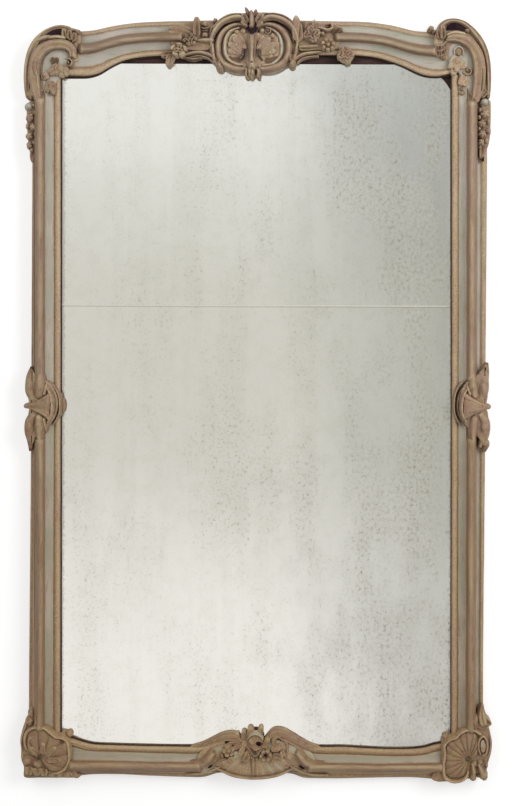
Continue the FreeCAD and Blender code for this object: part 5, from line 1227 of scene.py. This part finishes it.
def old_glass():
    """Silvered plates with a grey haze, warm specks in upright bands, dark edges where the silver is lost and
    painted shade lies beside the frame, and a tone that is partly tarnish and partly painted reflection.
    """
    n = Nodes("old_mirror_glass")
    x, _, z = n.add("ShaderNodeSeparateXYZ", {0: n.place}).outputs[:3]
    sway = n.ramp(n.noise(2.6, 3, 0.5, offset=12.0), 0.3, 0.7, -0.05, 0.05)
    up, across = n.math("ADD", z, sway), n.math("ADD", x, sway)
    cloud = n.noise(6.0, 5, 0.62, (1, 1, 0.5), 4.0)
    bands = n.noise(16.0, 3, 0.55, (1, 1, 0.08), 9.0)
    speck = n.noise(112, 6, 0.74, (1, 1, 0.8))
    coarse = n.noise(26, 5, 0.66, offset=6.0)
    # the silver's tone: warmer at the foot, greyer to the right and to the top right; partly tarnish and partly
    # painted reflection
    tone = n.mix(n.ramp(up, 0.0, -0.8), srgb(208, 206, 196), srgb(238, 235, 228))
    tone = n.mix(n.ramp(up, 0.25, 0.9), tone, srgb(232, 232, 226))
    for factor, scale in (
            (n.ramp(across, 0.02, 0.36), (0.82, 0.83, 0.83)), (n.ramp(across, 0.3, 0.52), (0.84, 0.84, 0.83)),
            (n.times(n.ramp(up, 0.2, 0.75), n.ramp(across, -0.05, 0.4)), (0.8, 0.81, 0.81)),
            (n.times(n.ramp(bands, 0.42, 0.64), 0.35), (0.9, 0.9, 0.88)),
            (n.times(n.ramp(coarse, 0.46, 0.62), 0.4), (0.93, 0.93, 0.9))):
        tone = n.shade(tone, factor, scale)
    # specks and haze, in a matt film
    tiny = n.add("ShaderNodeTexVoronoi", {"Vector": n.place, "Scale": 110.0, "Randomness": 1.0}, feature="F1")
    dots = n.times(n.ramp(tiny.outputs["Distance"], 0.26, 0.12), n.ramp(coarse, 0.45, 0.55))
    fox = n.times(n.ramp(speck, 0.53, 0.66), n.ramp(bands, 0.4, 0.6, 0.25, 1.0))
    calm = n.times(n.ramp(cloud, 0.38, 0.6, 0.3, 1.0), n.ramp(across, -0.45, 0.1, 0.6, 0.9))
    worn = n.times(n.total(n.times(fox, 0.75), n.times(dots, 0.55)), calm)
    haze = n.times(n.ramp(cloud, 0.4, 0.62), n.ramp(across, -0.2, 0.45, 0.05, 0.4))
    film = n.principled(Base_Color=n.mix(n.ramp(speck, 0.42, 0.64), srgb(186, 184, 174), srgb(140, 134, 118)),
                        Roughness=0.4)
    mirror = n.principled(Base_Color=tone, Roughness=n.ramp(cloud, 0.3, 0.7, 0.06, 0.14), Metallic=1.0)
    both = n.add("ShaderNodeMixShader", {0: n.total(worn, haze), 1: mirror.outputs[0], 2: film.outputs[0]})
    # silver lost along the sides, where it also stands for painted shade beside the frame's sight edge, in the
    # bottom right corner and at the seam, which has a pale line over a dark one
    frayed = n.ramp(speck, 0.3, 0.7, -0.004, 0.004)
    side = n.ramp(n.math("ADD", n.math("ABSOLUTE", x), frayed), 0.5265, 0.5325)
    seam = n.ramp(n.math("ABSOLUTE", n.math("ADD", z, -SEAM_HEIGHT)), 0.0026, 0.001)
    under = n.ramp(n.math("ABSOLUTE", n.math("ADD", z, -SEAM_HEIGHT + 0.0035)), 0.0024, 0.0008)
    bare = n.mix(n.ramp(speck, 0.4, 0.6), srgb(92, 82, 84), srgb(128, 120, 112))
    lost = n.principled(Base_Color=n.mix(seam, bare, srgb(216, 212, 198)), Roughness=0.5)
    corner = n.times(n.ramp(across, 0.34, 0.5), n.ramp(up, -0.9, -0.965))
    joint = n.total(n.times(seam, 0.6), n.times(under, 0.3))
    edges = n.total(n.total(n.times(side, 0.4), joint), n.times(corner, 0.4))
    return n.finish(n.add("ShaderNodeMixShader", {0: edges, 1: both.outputs[0], 2: lost.outputs[0]}))


def steel():
    """Steel with brown rust in patches."""
    n = Nodes("old_steel")
    rust = n.noise(160, 6, 0.65)
    return n.finish(n.principled(
        Base_Color=n.mix(n.ramp(rust, 0.42, 0.62), srgb(122, 118, 112), srgb(96, 70, 52)),
        Roughness=n.ramp(rust, 0.4, 0.6, 0.35, 0.8), Metallic=n.ramp(rust, 0.5, 0.62, 0.9, 0.1),
        Normal=n.bump(rust, 0.2, 0.0005)))


def pale_backdrop(name, glow, colour):
    """Wall or floor: white to the camera, and it keeps a faint shadow; other rays and the back pass through."""
    n = Nodes(name)
    diffuse = n.add("ShaderNodeBsdfDiffuse", {"Color": colour})
    light = n.add("ShaderNodeEmission", {"Color": (1.0, 1.0, 1.0), "Strength": glow})
    lit = n.add("ShaderNodeAddShader", {0: diffuse.outputs[0], 1: light.outputs[0]})
    clear = n.add("ShaderNodeBsdfTransparent")
    path, geometry = n.add("ShaderNodeLightPath"), n.add("ShaderNodeNewGeometry")
    front = n.math("SUBTRACT", 1.0, geometry.outputs["Backfacing"], True)
    seen = n.times(path.outputs["Is Camera Ray"], front)
    return n.finish(n.add("ShaderNodeMixShader", {0: seen, 1: clear.outputs[0], 2: lit.outputs[0]}))


# Stage and light

def make_stage():
    for name, corners, glow in (
            ("wall", [(-6, 0.004, -2.0), (6, 0.004, -2.0), (6, 0.004, 4), (-6, 0.004, 4)], 0.51),
            ("floor", [(-6, -8, -2.0), (6, -8, -2.0), (6, 6, -2.0), (-6, 6, -2.0)], 0.55)):
        mesh = bpy.data.meshes.new(name)
        mesh.from_pydata(corners, [], [(0, 1, 2, 3)])
        mesh.materials.append(pale_backdrop(name + "_white", glow, (0.62, 0.62, 0.62)))
        item = bpy.data.objects.new(name, mesh)
        scene.collection.objects.link(item)


def make_light():
    """World of strength 0.5, which camera, glossy and transmission rays see at 1, and two soft lamps."""
    world = bpy.data.worlds.new("studio")
    scene.world = world
    world.use_nodes = True
    tree = world.node_tree
    back = tree.nodes["Background"]
    back.inputs[0].default_value = (1, 1, 1, 1)
    path = tree.nodes.new("ShaderNodeLightPath")
    white = path.outputs["Is Camera Ray"]
    for ray in ("Is Glossy Ray", "Is Transmission Ray"):
        add = tree.nodes.new("ShaderNodeMath")
        add.operation, add.use_clamp = "ADD", True
        tree.links.new(white, add.inputs[0])
        tree.links.new(path.outputs[ray], add.inputs[1])
        white = add.outputs[0]
    strength = tree.nodes.new("ShaderNodeMapRange")
    strength.inputs["To Min"].default_value = 0.5
    strength.inputs["To Max"].default_value = 1.0
    tree.links.new(white, strength.inputs["Value"])
    tree.links.new(strength.outputs[0], back.inputs[1])
    for name, location, power, size in (("key", (2.7, -3.0, 1.2), 82, 1.8), ("fill", (-1.7, -3.3, 2.3), 44, 2.6)):
        data = bpy.data.lights.new(name, "AREA")
        data.energy, data.size = power, size
        lamp = bpy.data.objects.new(name, data)
        lamp.location = location
        lamp.rotation_mode = "QUATERNION"
        lamp.rotation_quaternion = (-Vector(location)).to_track_quat("-Z", "Y")
        lamp.visible_glossy = False
        scene.collection.objects.link(lamp)


# Fixings: places in metres in the mirror's own frame

BATTENS = (("lower", -0.64), ("middle", 0.0), ("upper", 0.64))
BATTEN_END, BATTEN_HALF, BATTEN_BACK, BATTEN_SCREW_X = 0.5836, 0.0308, -0.0008, 0.566
BATTEN_POCKET_END, BATTEN_POCKET_HALF, BATTEN_POCKET_DEPTH = 0.5843, 0.0313, 0.013
STRAP_X, STRAP_SCREWS, STRAP_FACE = 0.579, (0.782, 0.8), 0.0114
RING_POCKET_HALF, RING_POCKET_LOW, RING_POCKET_HIGH, RING_POCKET_DEPTH = 0.026, 0.698, 0.816, 0.014
BOARDS, BOARD_LOW, BOARD_PITCH, BOARD_FACE, NAIL_X = 6, -0.9655, 0.3182, 0.0124, 0.534
OPEN = 0.01


def screw_head(x, z, level, radius, turn):
    """Slotted round head on the back; level is metres from the wall plane to its top."""
    around = np.linspace(0, 2 * math.pi, 40, endpoint=False)
    slot = np.clip(1.6 - np.abs(np.sin(around - turn)) * 6, 0, 1)
    rings = []
    for reach, lift, cut in ((0.03, 0.0, 1), (0.25, 0.0, 1), (0.5, 0.0, 1), (0.75, 0.0001, 1), (0.93, 0.0003, 0.8),
                             (1.0, 0.0008, 0), (1.0, 0.003, 0)):
        groove = 0.0007 * cut * (slot if reach > 0.1 else np.ones(40))
        rings.append(np.stack([x + radius * reach * np.cos(around), -level - lift - groove,
                               z + radius * reach * np.sin(around)], axis=-1))
    return loft(rings, 0.0)


def batten_form(middle):
    """Batten with chamfered edges and small waves of the plane."""
    half, back, rings = BATTEN_HALF, BATTEN_BACK, []
    for x in np.linspace(-BATTEN_END, BATTEN_END, 90):
        wave = 0.0002 * math.sin(x * 37 + middle * 11)
        rings.append([(x, y, middle + z) for y, z in (
            (-0.0128, -half), (-0.0018, -half - wave), (-0.0012, -half + 0.0006), (-0.0009, -half + 0.0016),
            (back + wave, -0.01), (back - wave, 0.01), (-0.0009, half - 0.0016), (-0.0012, half - 0.0006),
            (-0.0018, half + wave), (-0.0128, half))])
    return loft(rings, 0.0)


def fixings(planed, metal):
    """Battens, the screws of battens and straps, and the nails of the back boards."""
    for k, (name, middle) in enumerate(BATTENS):
        piece(name + "_batten_planed", [batten_form(middle)], "mirror", planed, [name + "_batten"], 0)
        heads = [screw_head(side * BATTEN_SCREW_X, middle + rise, 0.0001, 0.0046, 0.7 * k + side + 40 * rise)
                 for side in (-1, 1) for rise in (-0.016, 0.016)]
        piece(name + "_batten_screws", heads, "mirror", metal, (), 0, 30)
    heads = [screw_head(side * STRAP_X, z, STRAP_FACE, 0.0036, side + 30 * z)
             for side in (-1, 1) for z in STRAP_SCREWS]
    piece("strap_screws", heads, "mirror", metal, (), 0, 30)
    nails = []
    for k in range(BOARDS):
        for side in (-1, 1):
            for share in (0.16, 0.84):
                z = BOARD_LOW + (k + share) * BOARD_PITCH
                nails.append(screw_head(side * (NAIL_X - 0.003 * math.sin(9 * z)), z, BOARD_FACE, 0.0022, 7 * z))
    piece("board_nails", nails, "mirror", metal, (), 0, 30)


# Assembly

def dress_nodes(glass, boards, metal, battens):
    """Materials of the model's own solids."""
    for name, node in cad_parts.items():
        if name.endswith("plate"):
            material = glass
        elif name.startswith("back_board"):
            material = boards
        elif name.endswith(("strap", "ring")):
            material = metal
        else:
            material = battens
        node.data.materials.clear()
        node.data.materials.append(material)


def mouldings(raw, raw_level):
    """Stiles with the pockets of rings and battens in their backs, and rails."""
    upright = carved_finish("upright_mouldings", (1, 1, 0.14), 110)
    level = carved_finish("level_mouldings", (0.14, 1, 1), 110)
    for side, name in ((-1, "left"), (1, "right")):
        stile = piece(name + "_stile_carved", [stile_form(side)], "mirror", upright,
                      [name + "_stile"], 0.0004)
        boxes = [((side * STRAP_X - RING_POCKET_HALF, -RING_POCKET_DEPTH, RING_POCKET_LOW),
                  (side * STRAP_X + RING_POCKET_HALF, OPEN, RING_POCKET_HIGH))]
        for _, middle in reversed(BATTENS):
            near, far = sorted((side * 0.5, side * BATTEN_POCKET_END))
            boxes.append(((near, -BATTEN_POCKET_DEPTH, middle - BATTEN_POCKET_HALF),
                          (far, OPEN, middle + BATTEN_POCKET_HALF)))
        cut_boxes(stile, boxes)
        raw_back(stile, raw)
    for name, forms in (
            # The top rail's torus is darkened (deep -0.14): painted shade, the dark underside that light from above
            # gives it.
            ("top_rail", [rail_form(TOP_LINES, 61, 232, REBATE_TOP, (76, 82, 180, 187), -0.14),
                          rail_form(TOP_LINES, 274, 455, REBATE_TOP, (331, 338, 434, 440), -0.14)]),
            ("bottom_rail", [rail_form(BOTTOM_LINES, 59, 226, REBATE_BOTTOM, (62, 72, 198, 206)),
                             rail_form(BOTTOM_LINES, 284, 455, REBATE_BOTTOM, (303, 311, 440, 450))])):
        rail = piece(name + "_carved", forms, "mirror", level, [name], 0.0004)
        raw_back(rail, raw_level)


def main():
    scene.view_settings.view_transform = "Standard"
    make_camera()
    make_stage()
    make_light()
    carved = carved_finish("carved_finish", (1, 1, 1), 60)
    raw = wood("old_pine", (150, 118, 82), (104, 76, 50), 22, (8, 8, 1))
    raw_level = wood("old_pine_level", (150, 118, 82), (104, 76, 50), 22)
    boards = wood("dark_boards", (92, 68, 62), (58, 40, 40), 20)
    battens = wood("batten_wood", (158, 126, 88), (112, 84, 54), 24)
    metal = steel()
    dress_nodes(old_glass(), boards, metal, battens)
    mouldings(raw, raw_level)
    for name, node, forms in (
            ("top_left_corner", "top_left_corner_scroll", top_left_corner()),
            ("top_left_panel", "top_left_corner_leaf", top_left_leaf()),
            ("top_right_corner", "top_right_corner_scroll", top_right_corner()),
            ("top_right_panel", "top_right_corner_leaf", top_right_leaf()),
            ("left_flower_drop", "left_flower_drop", flower_drop(-1)),
            ("right_flower_drop", "right_flower_drop", flower_drop(1)),
            ("left_clasp", "left_clasp", clasp(-1)),
            ("right_clasp", "right_clasp", clasp(1)),
            ("bottom_left_shell", "bottom_left_shell", left_foot()),
            ("bottom_right_shell", "bottom_right_shell", right_foot()),
            ("crest_shell", "crest_shell", crest_shell()),
            ("crest_left_scroll", "crest_left_scroll", crest_scroll(-1)),
            ("crest_right_scroll", "crest_right_scroll", crest_scroll(1)),
            ("crest_finial", "crest_finial", crest_finial()),
            ("crest_pendant", "crest_pendant", crest_pendant()),
            ("left_spray", "left_spray", left_spray()),
            ("right_spray", "right_spray", right_spray()),
            ("basket_bowl", "basket_bowl", flatter(basket_bowl())),
            ("basket_flowers", "basket_flowers", flatter(basket_flowers())),
            ("basket_left_scroll", "basket_left_scroll", flatter(basket_scroll(-1))),
            ("basket_right_scroll", "basket_right_scroll", flatter(basket_scroll(1)))):
        raw_back(piece(name + "_carving", forms, "mirror", carved, [node]), raw)
    fixings(battens, metal)


main()
